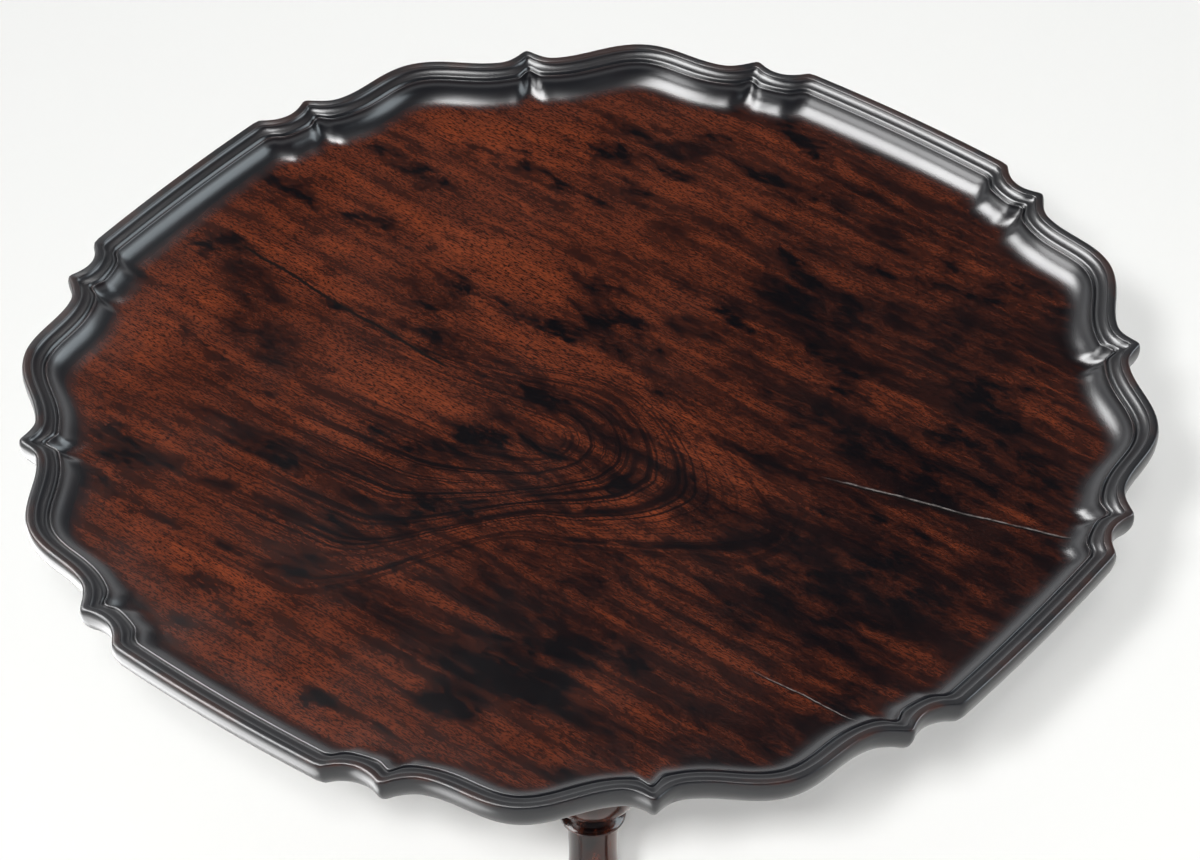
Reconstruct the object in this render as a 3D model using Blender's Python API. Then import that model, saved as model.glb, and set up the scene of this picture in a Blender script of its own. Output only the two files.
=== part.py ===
"""Tilt-top tea table: a scalloped tray top on a birdcage, a turned column and three cabriole legs.

Lengths are in metres. +Z is up and the origin is on the floor, under the column's axis. The front
faces -Y. The top tilts about two pintles that lie along X at the back of the birdcage, and its
grain runs along X, so the two battens that carry the pintles run along Y, across the grain.
"""
import math

import bmesh
import bpy
from mathutils import Matrix, Vector

# Driving dimensions ---------------------------------------------------------------------------
GAP = 0.0003                  # clearance between touching pieces, and all round a pin in its hole
TABLE_HEIGHT = 0.711          # floor to the arris of the rim

# Top board: outline. Four cusps, and between each two a lobe, a scallop, a side, a scallop, a lobe
TOP_RADIUS = 0.380            # axis to a cusp
CORNER_REACH = 0.0014         # how far the scallops' corners lie outside the cusps' circle
SIDE_CORNER = math.radians(13.15)     # angle from a side's middle to its end
SCALLOP_CORNER = math.radians(19.1)   # angle from a side's middle to the scallop's other end
OUTER_DIP = math.radians(22.7)        # angle to the lobe's dip next to the scallop
LOBE_CREST = math.radians(32.0)       # angle to the lobe's crest
INNER_DIP = math.radians(42.0)        # angle to the lobe's dip next to the cusp
CUSP = math.radians(45.0)             # angle from a side's middle to a cusp
SIDE_BOW = 0.0024             # how far a side's middle stands out of its chord
SCALLOP_DEPTH = 0.0090
OUTER_DIP_DEPTH = 0.0106
LOBE_RISE = 0.0043            # how far a lobe's crest stands out of the cusps' circle
INNER_DIP_DEPTH = 0.0118
OUT_OF_SQUARE = 0.0019        # how far the sides on X stand in, and those on Y out

# Top board: section
TOP_THICKNESS = 0.026
FIELD_DEPTH = 0.0175          # arris down to the flat field
LIP_WIDTH = 0.0054            # nearly level lip from the arris in to the step
LIP_DROP = 0.0005
STEP_WIDTH = 0.0012           # step from the lip down to the strip
STEP_DROP = 0.0027            # arris down to the step's foot
STRIP_END = 0.0131            # arris in to the strip's inner edge
STRIP_DROP = 0.0042
FILLET_END = 0.0160           # arris in to the fillet's inner edge, where the cove starts
FILLET_DROP = 0.0051
RIM_WIDTH = 0.0370            # arris in to the field
SIDE_HEIGHT = 0.0050          # upright side under the arris
RIM_BULGE = 0.0005            # how far the side stands out of the arris
UNDER_ROUND = 0.0180          # how far the side's round turns in under the board

# Birdcage
CAGE_WIDTH = 0.205
BLOCK_THICKNESS = 0.024
LOWER_BLOCK_WIDTH = 0.199
CAGE_OPENING = 0.076          # height between the two blocks
PILLAR_PLACE = 0.078          # distance of a pillar's axis from the column's axis, along X and Y
PILLAR_RADIUS = 0.0135
PILLAR_TENON_RADIUS = 0.008
PINTLE_RADIUS = 0.008
PINTLE_LENGTH = 0.029         # out of the block's side

# Battens under the top
BATTEN_LENGTH = 0.580
BATTEN_WIDTH = 0.030
BATTEN_THICKNESS = 0.026
BATTEN_END_THICKNESS = 0.009
BATTEN_TAPER = 0.085          # length of the shaped end
BATTEN_SIDE_GAP = 0.001       # between a batten and the block
BATTEN_SCREWS = (-0.185, -0.045, 0.045, 0.185)   # places along Y

# Column
DRUM_BOTTOM = 0.112           # floor to the underside of the column
DRUM_HEIGHT = 0.088
DRUM_RADIUS = 0.040
NECK_FOOT = 0.030             # top of the drum up to the slim neck
NECK_HEIGHT = 0.072
NECK_RADIUS = 0.0195
URN_RADIUS = 0.0425
URN_HEIGHT = 0.100
SHAFT_RADIUS = 0.0250         # at the foot of the shaft
SHAFT_TOP_RADIUS = 0.0195
CAPITAL_RADIUS = 0.034
CAPITAL_HEIGHT = 0.036
JOURNAL_RADIUS = 0.019        # where the lower block and the collar turn
TENON_RADIUS = 0.014          # where the upper block turns

# Collar and wedge, which hold the cage down on the column
COLLAR_RADIUS = 0.031
COLLAR_HEIGHT = 0.015
WEDGE_LENGTH = 0.088
WEDGE_THICKNESS = 0.007
WEDGE_HEAD_HEIGHT = 0.0165
WEDGE_TIP_HEIGHT = 0.0105

# Legs
LEG_DIRECTIONS = {"leg_front": -111.0, "leg_right": 9.0, "leg_back": 129.0}
LEG_SPREAD = 0.302            # axis to the middle of a foot
LEG_ROOT_HEIGHT = 0.078
LEG_ROOT_WIDTH = 0.028
SEAT_RADIUS = 0.037           # axis to the flat on the drum that a leg stands against
DOVETAIL_DEPTH = 0.014
DOVETAIL_NECK = 0.010
DOVETAIL_WIDTH = 0.016
DOVETAIL_HEIGHT = 0.066
FOOT_RADIUS = 0.030
FOOT_HEIGHT = 0.022

# Iron plate under the column
PLATE_THICKNESS = 0.0025
PLATE_ARM = 0.078             # axis to the end of an arm
PLATE_ARM_WIDTH = 0.016
PLATE_HUB_RADIUS = 0.024
PLATE_NAIL_PLACE = 0.066

# Brass catch under the top, and its keeper on the block
CATCH_CLEARANCE = 0.0015      # between the catch and the keeper
CATCH_PLATE_WIDTH = 0.036
CATCH_LENGTH = 0.050
CATCH_PLATE_THICKNESS = 0.0022
CATCH_CASE_WIDTH = 0.018
CATCH_CASE_DEPTH = 0.0125
BOLT_WIDTH = 0.008
BOLT_DEPTH = 0.0068
BOLT_LENGTH = 0.038
BOLT_THROW = 0.008
SPRING_THICKNESS = 0.0005
SPRING_BOW = 0.0007
KNOB_RADIUS = 0.0070
KNOB_LENGTH = 0.0130
KNOB_STEM_RADIUS = 0.0024
KEEPER_THICKNESS = 0.0020
KEEPER_WIDTH = 0.040
KEEPER_HEIGHT = 0.0190

# Screws and nails
SCREW_RADIUS = 0.0020
SCREW_HEAD_RADIUS = 0.0042
SCREW_HEAD_HEIGHT = 0.0026
SCREW_SLOT_WIDTH = 0.0009
SCREW_SLOT_DEPTH = 0.0009
SCREW_BITE = 0.0055           # how deep a batten screw goes into the board
SMALL_SCREW_LENGTH = 0.0080
SMALL_SCREW_RADIUS = 0.0013
SMALL_HEAD_RADIUS = 0.0028
NAIL_RADIUS = 0.0018
NAIL_LENGTH = 0.0140
NAIL_HEAD_RADIUS = 0.0048
NAIL_HEAD_HEIGHT = 0.0018

# Levels and places that follow from them -----------------------------------------------------
UNDERSIDE = TABLE_HEIGHT - TOP_THICKNESS
FIELD = TABLE_HEIGHT - FIELD_DEPTH
UPPER_BLOCK_TOP = UNDERSIDE - GAP
UPPER_BLOCK_BOTTOM = UPPER_BLOCK_TOP - BLOCK_THICKNESS
LOWER_BLOCK_TOP = UPPER_BLOCK_BOTTOM - CAGE_OPENING
LOWER_BLOCK_BOTTOM = LOWER_BLOCK_TOP - BLOCK_THICKNESS
SHOULDER = LOWER_BLOCK_BOTTOM - GAP
COLLAR_BOTTOM = LOWER_BLOCK_TOP + GAP
COLLAR_TOP = COLLAR_BOTTOM + COLLAR_HEIGHT
WEDGE_BOTTOM = COLLAR_TOP + GAP
DRUM_TOP = DRUM_BOTTOM + DRUM_HEIGHT
PINTLE_Y = CAGE_WIDTH / 2 - BLOCK_THICKNESS / 2
PINTLE_Z = UPPER_BLOCK_TOP - BLOCK_THICKNESS / 2
BATTEN_X = CAGE_WIDTH / 2 + BATTEN_SIDE_GAP + BATTEN_WIDTH / 2
BATTEN_TOP = UNDERSIDE - GAP
KEEPER_BACK = -CAGE_WIDTH / 2 - GAP
KEEPER_FRONT = KEEPER_BACK - KEEPER_THICKNESS
CATCH_NOSE = KEEPER_FRONT - CATCH_CLEARANCE
CATCH_TOP = UNDERSIDE - GAP
CATCH_CASE_TOP = CATCH_TOP - CATCH_PLATE_THICKNESS
SPRING_ROOM = SPRING_THICKNESS + SPRING_BOW + 2 * GAP
BOLT_TOP = CATCH_CASE_TOP - SPRING_ROOM
BOLT_Z = BOLT_TOP - BOLT_DEPTH / 2
CHANNEL_BOTTOM = BOLT_TOP - BOLT_DEPTH - GAP
CATCH_BOTTOM = CATCH_CASE_TOP - CATCH_CASE_DEPTH
KNOB_Y = CATCH_NOSE - 0.6 * BOLT_LENGTH

# Facets of the round pieces
COLUMN_FACETS = 24
PILLAR_FACETS = 12
PINTLE_FACETS = 20
FOOT_FACETS = 16
SMALL_FACETS = 8
LEG_FACETS = 12
STEM_FACETS = 14
PLATE_FACETS = 24


def material(name, color, roughness, metallic=0.0):
    """A Principled material."""
    finish = bpy.data.materials.new(name)
    finish.use_nodes = True
    shader = finish.node_tree.nodes["Principled BSDF"]
    shader.inputs["Base Color"].default_value = (*color, 1.0)
    shader.inputs["Roughness"].default_value = roughness
    shader.inputs["Metallic"].default_value = metallic
    return finish


# Modelling helpers ----------------------------------------------------------------------------
def mesh_object(name, bm, finish=None, sharp_angle=None):
    """A named object from a bmesh, smooth-shaded where the faces meet at less than sharp_angle."""
    bmesh.ops.recalc_face_normals(bm, faces=bm.faces[:])
    mesh = bpy.data.meshes.new(name)
    bm.to_mesh(mesh)
    bm.free()
    if finish:
        mesh.materials.append(finish)
    if sharp_angle:
        mesh.shade_smooth()
        mesh.set_sharp_from_angle(angle=math.radians(sharp_angle))
    obj = bpy.data.objects.new(name, mesh)
    bpy.context.scene.collection.objects.link(obj)
    return obj


def stack(name, rings, closed=False, finish=None, sharp_angle=None):
    """A solid through rings of as many points each, capped at both ends or closed on itself."""
    bm = bmesh.new()
    loops = [[bm.verts.new(point) for point in ring] for ring in rings]
    pairs = list(zip(loops, loops[1:]))
    if closed:
        pairs.append((loops[-1], loops[0]))
    for low, high in pairs:
        for i, vert in enumerate(low):
            after = (i + 1) % len(low)
            bm.faces.new((vert, low[after], high[after], high[i]))
    if not closed:
        bm.faces.new(loops[0])
        bm.faces.new(loops[-1])
    return mesh_object(name, bm, finish, sharp_angle)


def circle(radius, z, facets):
    """Points of a circle about Z."""
    turns = [2 * math.pi * k / facets for k in range(facets)]
    return [(radius * math.cos(turn), radius * math.sin(turn), z) for turn in turns]


def turned(name, profile, facets, closed=False, finish=None, sharp_angle=35.0):
    """A piece turned about Z from (radius, height) points."""
    rings = [circle(radius, z, facets) for radius, z in profile]
    return stack(name, rings, closed, finish, sharp_angle)


def bore(radius, low, high, facets):
    """A round cutter about Z."""
    return turned("bore", [(radius, low), (radius, high)], facets)


def box(name, low, high, finish=None):
    """A box between two corners."""
    (x0, y0, z0), (x1, y1, z1) = low, high
    outline = ((x0, y0), (x1, y0), (x1, y1), (x0, y1))
    return stack(name, [[(x, y, z) for x, y in outline] for z in (z0, z1)], finish=finish)


def prism_along_x(name, outline, x0, x1, finish=None, sharp_angle=None):
    """An outline in (y, z), drawn out along X."""
    rings = [[(x, y, z) for y, z in outline] for x in (x0, x1)]
    return stack(name, rings, finish=finish, sharp_angle=sharp_angle)


def place(obj, location=(0.0, 0.0, 0.0), rotation=None):
    """Move an object's mesh by a rotation and then to a location."""
    turn = rotation or Matrix.Identity(4)
    obj.data.transform(Matrix.Translation(Vector(location)) @ turn)
    return obj


def combine(target, tool, operation):
    """Join a tool to the target, or cut it out, and use the tool up."""
    modifier = target.modifiers.new(operation.lower(), "BOOLEAN")
    modifier.operation = operation
    modifier.solver = "EXACT"
    modifier.object = tool
    bpy.context.view_layer.update()
    graph = bpy.context.evaluated_depsgraph_get()
    result = bpy.data.meshes.new_from_object(target.evaluated_get(graph))
    target.modifiers.clear()
    old = target.data
    target.data = result
    result.name = target.name
    bpy.data.meshes.remove(old)
    bpy.data.objects.remove(tool)
    return target


def join(target, tool):
    return combine(target, tool, "UNION")


def cut(target, tool):
    return combine(target, tool, "DIFFERENCE")


def swell(start, end, bulge, steps):
    """Profile points from start up to, but not including, end, with a round or a hollow between."""
    (r0, z0), (r1, z1) = start, end
    points = []
    for k in range(steps):
        t = k / steps
        points.append((r0 + (r1 - r0) * t + bulge * math.sin(math.pi * t), z0 + (z1 - z0) * t))
    return points


# Top board -------------------------------------------------------------------------------------
def ease(t):
    """Smooth step from 0 to 1 with level ends."""
    return (1 - math.cos(math.pi * t)) / 2


def square_radius(angle):
    """Distance from the axis to the arris of a top with four like sides."""
    quarter = math.pi / 2
    a = abs((angle + quarter / 2) % quarter - quarter / 2)
    corner = TOP_RADIUS + CORNER_REACH
    if a <= SIDE_CORNER:
        half_chord = corner * math.sin(SIDE_CORNER)
        radius = (half_chord ** 2 + SIDE_BOW ** 2) / (2 * SIDE_BOW)
        centre = corner * math.cos(SIDE_CORNER) + SIDE_BOW - radius
        return centre * math.cos(a) + math.sqrt(radius ** 2 - (centre * math.sin(a)) ** 2)
    if a <= SCALLOP_CORNER:
        middle = (SIDE_CORNER + SCALLOP_CORNER) / 2
        across = (a - middle) / (SCALLOP_CORNER - middle)
        return corner - SCALLOP_DEPTH * (1 - across ** 2)
    outer_dip = TOP_RADIUS - OUTER_DIP_DEPTH
    crest = TOP_RADIUS + LOBE_RISE
    inner_dip = TOP_RADIUS - INNER_DIP_DEPTH
    if a <= OUTER_DIP:
        t = (OUTER_DIP - a) / (OUTER_DIP - SCALLOP_CORNER)
        return corner + (outer_dip - corner) * math.sin(math.pi / 2 * (1 - t))
    if a <= LOBE_CREST:
        return outer_dip + (crest - outer_dip) * ease((a - OUTER_DIP) / (LOBE_CREST - OUTER_DIP))
    if a <= INNER_DIP:
        return crest + (inner_dip - crest) * ease((a - LOBE_CREST) / (INNER_DIP - LOBE_CREST))
    t = (CUSP - a) / (CUSP - INNER_DIP)
    return TOP_RADIUS + (inner_dip - TOP_RADIUS) * math.sin(math.pi / 2 * t)


def outline_radius(angle):
    """Distance from the axis to the arris, at an angle from X."""
    return square_radius(angle) - OUT_OF_SQUARE * math.cos(2 * angle)


def outline_spread(angle):
    """How much longer an inset is along the radius than square to the outline."""
    step = 1e-4
    here = outline_radius(angle)
    slopes = [(outline_radius(angle + side * step) - here) / (step * here) for side in (-1, 1)]
    return sum(math.hypot(1, slope) for slope in slopes) / 2


def outline_angles():
    """Angles of the outline's points, closer together where it curves more."""
    ends = (0.0, SIDE_CORNER, SCALLOP_CORNER, OUTER_DIP, LOBE_CREST, INNER_DIP, CUSP)
    counts = (2, 4, 2, 4, 4, 2)
    stretches = zip(ends, ends[1:], counts)
    eighth = [a + (b - a) * k / count for a, b, count in stretches for k in range(count)]
    quarter = eighth + [CUSP] + [2 * CUSP - a for a in reversed(eighth[1:])]
    return [side * math.pi / 2 + a for side in range(4) for a in quarter]


def rim_section():
    """The rim's (inset, height) points, from under the board round the outside to the field."""
    under = []
    for turn in (90, 60, 30, 0):
        t = math.radians(turn)
        drop = SIDE_HEIGHT + (TOP_THICKNESS - SIDE_HEIGHT) * math.sin(t)
        under.append((UNDER_ROUND - (UNDER_ROUND + RIM_BULGE) * math.cos(t), -drop))
    lip = [(0.0, 0.0), (LIP_WIDTH, -LIP_DROP), (LIP_WIDTH + STEP_WIDTH, -STEP_DROP)]
    strip = [(STRIP_END, -STRIP_DROP), (FILLET_END, -FILLET_DROP)]
    cove = []
    for turn in (30, 60, 90):
        t = math.radians(turn)
        inset = FILLET_END + (RIM_WIDTH - FILLET_END) * (1 - math.cos(t))
        cove.append((inset, -FILLET_DROP - (FIELD_DEPTH - FILLET_DROP) * math.sin(t)))
    return under + lip + strip + cove


def make_top_board(finish):
    """The tray: one board, its rim carved out of the solid."""
    angles = outline_angles()
    radii = [outline_radius(a) for a in angles]
    spreads = [outline_spread(a) for a in angles]
    rings = []
    for inset, height in rim_section():
        z = TABLE_HEIGHT + height
        reach = [radius - inset * spread for radius, spread in zip(radii, spreads)]
        rings.append([(r * math.cos(a), r * math.sin(a), z) for r, a in zip(reach, angles)])
    board = stack("top_board", rings, finish=finish, sharp_angle=30.0)
    for x, y in batten_screw_places():
        hole = bore(SCREW_RADIUS + GAP, -GAP, SCREW_BITE + GAP, SMALL_FACETS)
        cut(board, place(hole, (x, y, UNDERSIDE)))
    for x, y in catch_screw_places():
        depth = SMALL_SCREW_LENGTH - CATCH_PLATE_THICKNESS
        hole = bore(SMALL_SCREW_RADIUS + GAP, -GAP, depth, SMALL_FACETS)
        cut(board, place(hole, (x, y, UNDERSIDE)))
    return board


# Screws ----------------------------------------------------------------------------------------
def countersunk_screw(name, head_radius, head_height, radius, length, finish):
    """A slotted countersunk screw, its head's face at the origin and its point up."""
    point = length - 2 * radius
    profile = [(head_radius, 0.0), (head_radius, 0.0003), (radius, head_height), (radius, point),
               (radius / 3, length)]
    screw = turned(name, profile, SMALL_FACETS, finish=finish)
    slot = box("slot", (-2 * head_radius, -SCREW_SLOT_WIDTH / 2, -GAP),
               (2 * head_radius, SCREW_SLOT_WIDTH / 2, SCREW_SLOT_DEPTH))
    return cut(screw, slot)


def countersink(head_radius, head_height, radius, length):
    """The hole for a countersunk screw, from below its head's face at the origin."""
    cone = head_height * GAP / (head_radius - radius) + head_height + GAP
    profile = [(head_radius + GAP, -0.02), (head_radius + GAP, 0.0003), (radius + GAP, cone),
               (radius + GAP, length + GAP)]
    return turned("hole", profile, SMALL_FACETS)


def small_screw(name, finish):
    """A screw of the catch or the keeper."""
    head_height = SMALL_HEAD_RADIUS - SMALL_SCREW_RADIUS
    length = SMALL_SCREW_LENGTH - GAP
    return countersunk_screw(name, SMALL_HEAD_RADIUS, head_height, SMALL_SCREW_RADIUS, length, finish)


def small_countersink():
    """The hole for a small screw."""
    head_height = SMALL_HEAD_RADIUS - SMALL_SCREW_RADIUS
    return countersink(SMALL_HEAD_RADIUS, head_height, SMALL_SCREW_RADIUS, SMALL_SCREW_LENGTH)


# Battens ---------------------------------------------------------------------------------------
def batten_screw_places():
    return [(side * BATTEN_X, y) for side in (-1, 1) for y in BATTEN_SCREWS]


def make_batten(name, side, finish):
    """A batten with ends that sweep up, and the pintle's hole through it."""
    half = BATTEN_LENGTH / 2
    top, bottom = BATTEN_TOP, BATTEN_TOP - BATTEN_THICKNESS
    tip = BATTEN_TOP - BATTEN_END_THICKNESS
    steps = 6
    shares = [k / steps for k in range(steps + 1)]
    sweep = [(half - BATTEN_TAPER * t, tip + (bottom - tip) * ease(t)) for t in shares]
    outline = [(-half, top), (half, top)] + sweep + [(-y, z) for y, z in reversed(sweep)]
    x0 = side * BATTEN_X - BATTEN_WIDTH / 2
    batten = prism_along_x(name, outline, x0, x0 + BATTEN_WIDTH, finish)
    hole = bore(PINTLE_RADIUS + GAP, -BATTEN_WIDTH, BATTEN_WIDTH, PINTLE_FACETS)
    cut(batten, place(hole, (side * BATTEN_X, PINTLE_Y, PINTLE_Z), Matrix.Rotation(math.pi / 2, 4, "Y")))
    length = BATTEN_THICKNESS + SCREW_BITE
    for y in BATTEN_SCREWS:
        hole = countersink(SCREW_HEAD_RADIUS, SCREW_HEAD_HEIGHT, SCREW_RADIUS, length)
        cut(batten, place(hole, (side * BATTEN_X, y, bottom + GAP)))
    return batten


def make_batten_screws(finish):
    length = BATTEN_THICKNESS + SCREW_BITE - GAP
    for number, (x, y) in enumerate(batten_screw_places(), 1):
        name = f"batten_screw_{number}"
        screw = countersunk_screw(name, SCREW_HEAD_RADIUS, SCREW_HEAD_HEIGHT, SCREW_RADIUS, length, finish)
        place(screw, (x, y, BATTEN_TOP - BATTEN_THICKNESS + GAP))


# Birdcage --------------------------------------------------------------------------------------
def pillar_places():
    return [(x, y) for y in (-PILLAR_PLACE, PILLAR_PLACE) for x in (-PILLAR_PLACE, PILLAR_PLACE)]


def drill(block, radius, x, y, low, high, facets):
    """A round hole through a block."""
    return cut(block, place(bore(radius, low - GAP, high + GAP, facets), (x, y, 0.0)))


def make_upper_block(finish):
    """The block that carries the top, with a pintle on each side of its rounded back edge."""
    front = -CAGE_WIDTH / 2
    half = BLOCK_THICKNESS / 2
    turns = [math.radians(-90 + 180 * k / 10) for k in range(11)]
    back = [(PINTLE_Y + half * math.cos(turn), PINTLE_Z + half * math.sin(turn)) for turn in turns]
    outline = [(front, UPPER_BLOCK_TOP), (front, UPPER_BLOCK_BOTTOM)] + back
    block = prism_along_x("cage_upper_block", outline, -CAGE_WIDTH / 2, CAGE_WIDTH / 2, finish, 35.0)
    block_side = CAGE_WIDTH / 2
    for side in (-1, 1):
        profile = [(PINTLE_RADIUS, block_side - PINTLE_RADIUS), (PINTLE_RADIUS, block_side + PINTLE_LENGTH)]
        pintle = turned("pintle", profile, PINTLE_FACETS)
        join(block, place(pintle, (0.0, PINTLE_Y, PINTLE_Z), Matrix.Rotation(side * math.pi / 2, 4, "Y")))
    drill(block, TENON_RADIUS + GAP, 0.0, 0.0, UPPER_BLOCK_BOTTOM, UPPER_BLOCK_TOP, COLUMN_FACETS)
    for x, y in pillar_places():
        drill(block, PILLAR_TENON_RADIUS + GAP, x, y, UPPER_BLOCK_BOTTOM, UPPER_BLOCK_TOP, PILLAR_FACETS)
    cut(block, bolt_mortise())
    for x in keeper_screw_places():
        hole = bore(SMALL_SCREW_RADIUS + GAP, 0.0, SMALL_SCREW_LENGTH + GAP, SMALL_FACETS)
        cut(block, place_keeper_screw(hole, x))
    return block


def make_lower_block(finish):
    """The block that turns on the column's journal."""
    half = LOWER_BLOCK_WIDTH / 2
    block = box("cage_lower_block", (-half, -half, LOWER_BLOCK_BOTTOM), (half, half, LOWER_BLOCK_TOP), finish)
    drill(block, JOURNAL_RADIUS + GAP, 0.0, 0.0, LOWER_BLOCK_BOTTOM, LOWER_BLOCK_TOP, COLUMN_FACETS)
    for x, y in pillar_places():
        drill(block, PILLAR_TENON_RADIUS + GAP, x, y, LOWER_BLOCK_BOTTOM, LOWER_BLOCK_TOP, PILLAR_FACETS)
    return block


def make_pillars(finish):
    """Four turned pillars, with a round tenon through each block."""
    low, high = LOWER_BLOCK_TOP + GAP, UPPER_BLOCK_BOTTOM - GAP
    height = high - low
    wide, slim = PILLAR_RADIUS, 0.6 * PILLAR_RADIUS
    profile = [(PILLAR_TENON_RADIUS, LOWER_BLOCK_BOTTOM), (PILLAR_TENON_RADIUS, low)]
    profile += swell((0.9 * wide, low), (0.9 * wide, low + 0.12 * height), 0.1 * wide, 3)
    profile += [(0.9 * wide, low + 0.12 * height)]
    profile += swell((slim, low + 0.15 * height), (slim, low + 0.56 * height), wide - slim, 5)
    profile += swell((slim, low + 0.56 * height), (0.85 * slim, low + 0.80 * height), 0.0, 1)
    profile += swell((0.85 * slim, low + 0.80 * height), (0.85 * slim, low + 0.88 * height), 0.3 * wide, 3)
    profile += [(0.85 * slim, low + 0.88 * height), (0.8 * wide, low + 0.95 * height), (0.9 * wide, high)]
    profile += [(PILLAR_TENON_RADIUS, high), (PILLAR_TENON_RADIUS, UPPER_BLOCK_TOP)]
    for number, (x, y) in enumerate(pillar_places(), 1):
        place(turned(f"cage_pillar_{number}", profile, PILLAR_FACETS, finish=finish), (x, y, 0.0))


# Column, collar and wedge ----------------------------------------------------------------------
def column_profile():
    """The column's turned outline, from its underside up to the end of its tenon."""
    neck_low = DRUM_TOP + NECK_FOOT
    neck_high = neck_low + NECK_HEIGHT
    urn_top = neck_high + URN_HEIGHT
    capital = SHOULDER - CAPITAL_HEIGHT
    ring = DRUM_RADIUS - 0.005
    collet = SHAFT_RADIUS - 0.003
    flare = CAPITAL_RADIUS - 0.001
    profile = [(DRUM_RADIUS - 0.002, DRUM_BOTTOM), (DRUM_RADIUS, DRUM_BOTTOM + 0.002)]
    profile += [(DRUM_RADIUS, DRUM_TOP - 0.004)]
    profile += swell((ring, DRUM_TOP - 0.002), (ring, DRUM_TOP + 0.008), 0.005, 3)
    profile += [(ring, DRUM_TOP + 0.008)]
    profile += swell((ring - 0.003, DRUM_TOP + 0.011), (NECK_RADIUS, neck_low), -0.003, 3)
    profile += [(NECK_RADIUS, neck_low), (NECK_RADIUS - 0.0005, neck_high - 0.008)]
    profile += swell((NECK_RADIUS, neck_high - 0.008), (NECK_RADIUS, neck_high), 0.005, 3)
    profile += swell((NECK_RADIUS, neck_high), (0.74 * URN_RADIUS, neck_high + 0.22 * URN_HEIGHT), -0.003, 2)
    middle = neck_high + 0.52 * URN_HEIGHT
    for k in range(7):
        turn = math.radians(-40 + 115 * k / 6)
        profile.append((URN_RADIUS * math.cos(turn) ** 0.7, middle + 0.45 * URN_HEIGHT * math.sin(turn)))
    profile += swell((collet, urn_top), (collet, urn_top + 0.009), 0.006, 3)
    profile += [(collet, urn_top + 0.009), (SHAFT_RADIUS, urn_top + 0.014)]
    profile += swell((SHAFT_RADIUS, urn_top + 0.014), (SHAFT_TOP_RADIUS, capital), 0.0008, 3)[1:]
    profile += swell((SHAFT_TOP_RADIUS, capital), (SHAFT_TOP_RADIUS, capital + 0.008), 0.0045, 3)
    profile += swell((SHAFT_TOP_RADIUS, capital + 0.010), (flare, SHOULDER - 0.008), -0.004, 3)
    profile += [(flare, SHOULDER - 0.008), (CAPITAL_RADIUS, SHOULDER - 0.006), (CAPITAL_RADIUS, SHOULDER)]
    step = UPPER_BLOCK_BOTTOM - CAGE_OPENING / 4
    profile += [(JOURNAL_RADIUS, SHOULDER), (JOURNAL_RADIUS, step), (TENON_RADIUS, step)]
    profile += [(TENON_RADIUS, UPPER_BLOCK_TOP - 0.002), (TENON_RADIUS - 0.001, UPPER_BLOCK_TOP - 0.001)]
    return profile


def leg_turns():
    return [Matrix.Rotation(math.radians(angle), 4, "Z") for angle in LEG_DIRECTIONS.values()]


def dovetail(grow, low, high):
    """A leg's dovetail, pointing at the axis from the seat's flat, grown all round by a clearance."""
    outer = SEAT_RADIUS + 0.004
    inner = SEAT_RADIUS - DOVETAIL_DEPTH
    flare = (DOVETAIL_WIDTH - DOVETAIL_NECK) / 2 / DOVETAIL_DEPTH
    neck = DOVETAIL_NECK / 2 - flare * (outer - SEAT_RADIUS) + grow
    wide = DOVETAIL_WIDTH / 2 + flare * grow + grow
    outline = ((outer, -neck), (outer, neck), (inner - grow, wide), (inner - grow, -wide))
    return stack("dovetail", [[(x, y, z) for x, y in outline] for z in (low, high)])


def make_column(finish):
    """The column: three seats and dovetail slots for the legs, and a mortise for the wedge."""
    column = turned("column", column_profile(), COLUMN_FACETS, finish=finish)
    for turn in leg_turns():
        seat_top = DRUM_BOTTOM + LEG_ROOT_HEIGHT + GAP
        seat = box("seat", (SEAT_RADIUS - GAP, -DRUM_RADIUS, DRUM_BOTTOM - 0.01),
                   (2 * DRUM_RADIUS, DRUM_RADIUS, seat_top))
        cut(column, place(seat, rotation=turn))
        slot = dovetail(GAP, DRUM_BOTTOM - 0.01, DRUM_BOTTOM + DOVETAIL_HEIGHT + GAP)
        cut(column, place(slot, rotation=turn))
    nail_hole = bore(NAIL_RADIUS + GAP, -GAP, NAIL_LENGTH + GAP, SMALL_FACETS)
    cut(column, place(nail_hole, (0.0, 0.0, DRUM_BOTTOM)))
    half = WEDGE_THICKNESS / 2 + GAP
    mortise = box("mortise", (-half, -2 * JOURNAL_RADIUS, WEDGE_BOTTOM - GAP - 0.003),
                  (half, 2 * JOURNAL_RADIUS, WEDGE_BOTTOM + wedge_height(-JOURNAL_RADIUS) + GAP))
    return cut(column, mortise)


def wedge_height(y):
    """The wedge's height at a place along Y: its head is at the front."""
    t = 0.5 + y / WEDGE_LENGTH
    return WEDGE_HEAD_HEIGHT + (WEDGE_TIP_HEIGHT - WEDGE_HEAD_HEIGHT) * t


def make_wedge(finish):
    """The wedge through the journal, on the collar."""
    half = WEDGE_LENGTH / 2
    outline = [(-half, WEDGE_BOTTOM), (half, WEDGE_BOTTOM), (half, WEDGE_BOTTOM + wedge_height(half)),
               (-half, WEDGE_BOTTOM + wedge_height(-half))]
    return prism_along_x("wedge_key", outline, -WEDGE_THICKNESS / 2, WEDGE_THICKNESS / 2, finish)


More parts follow.
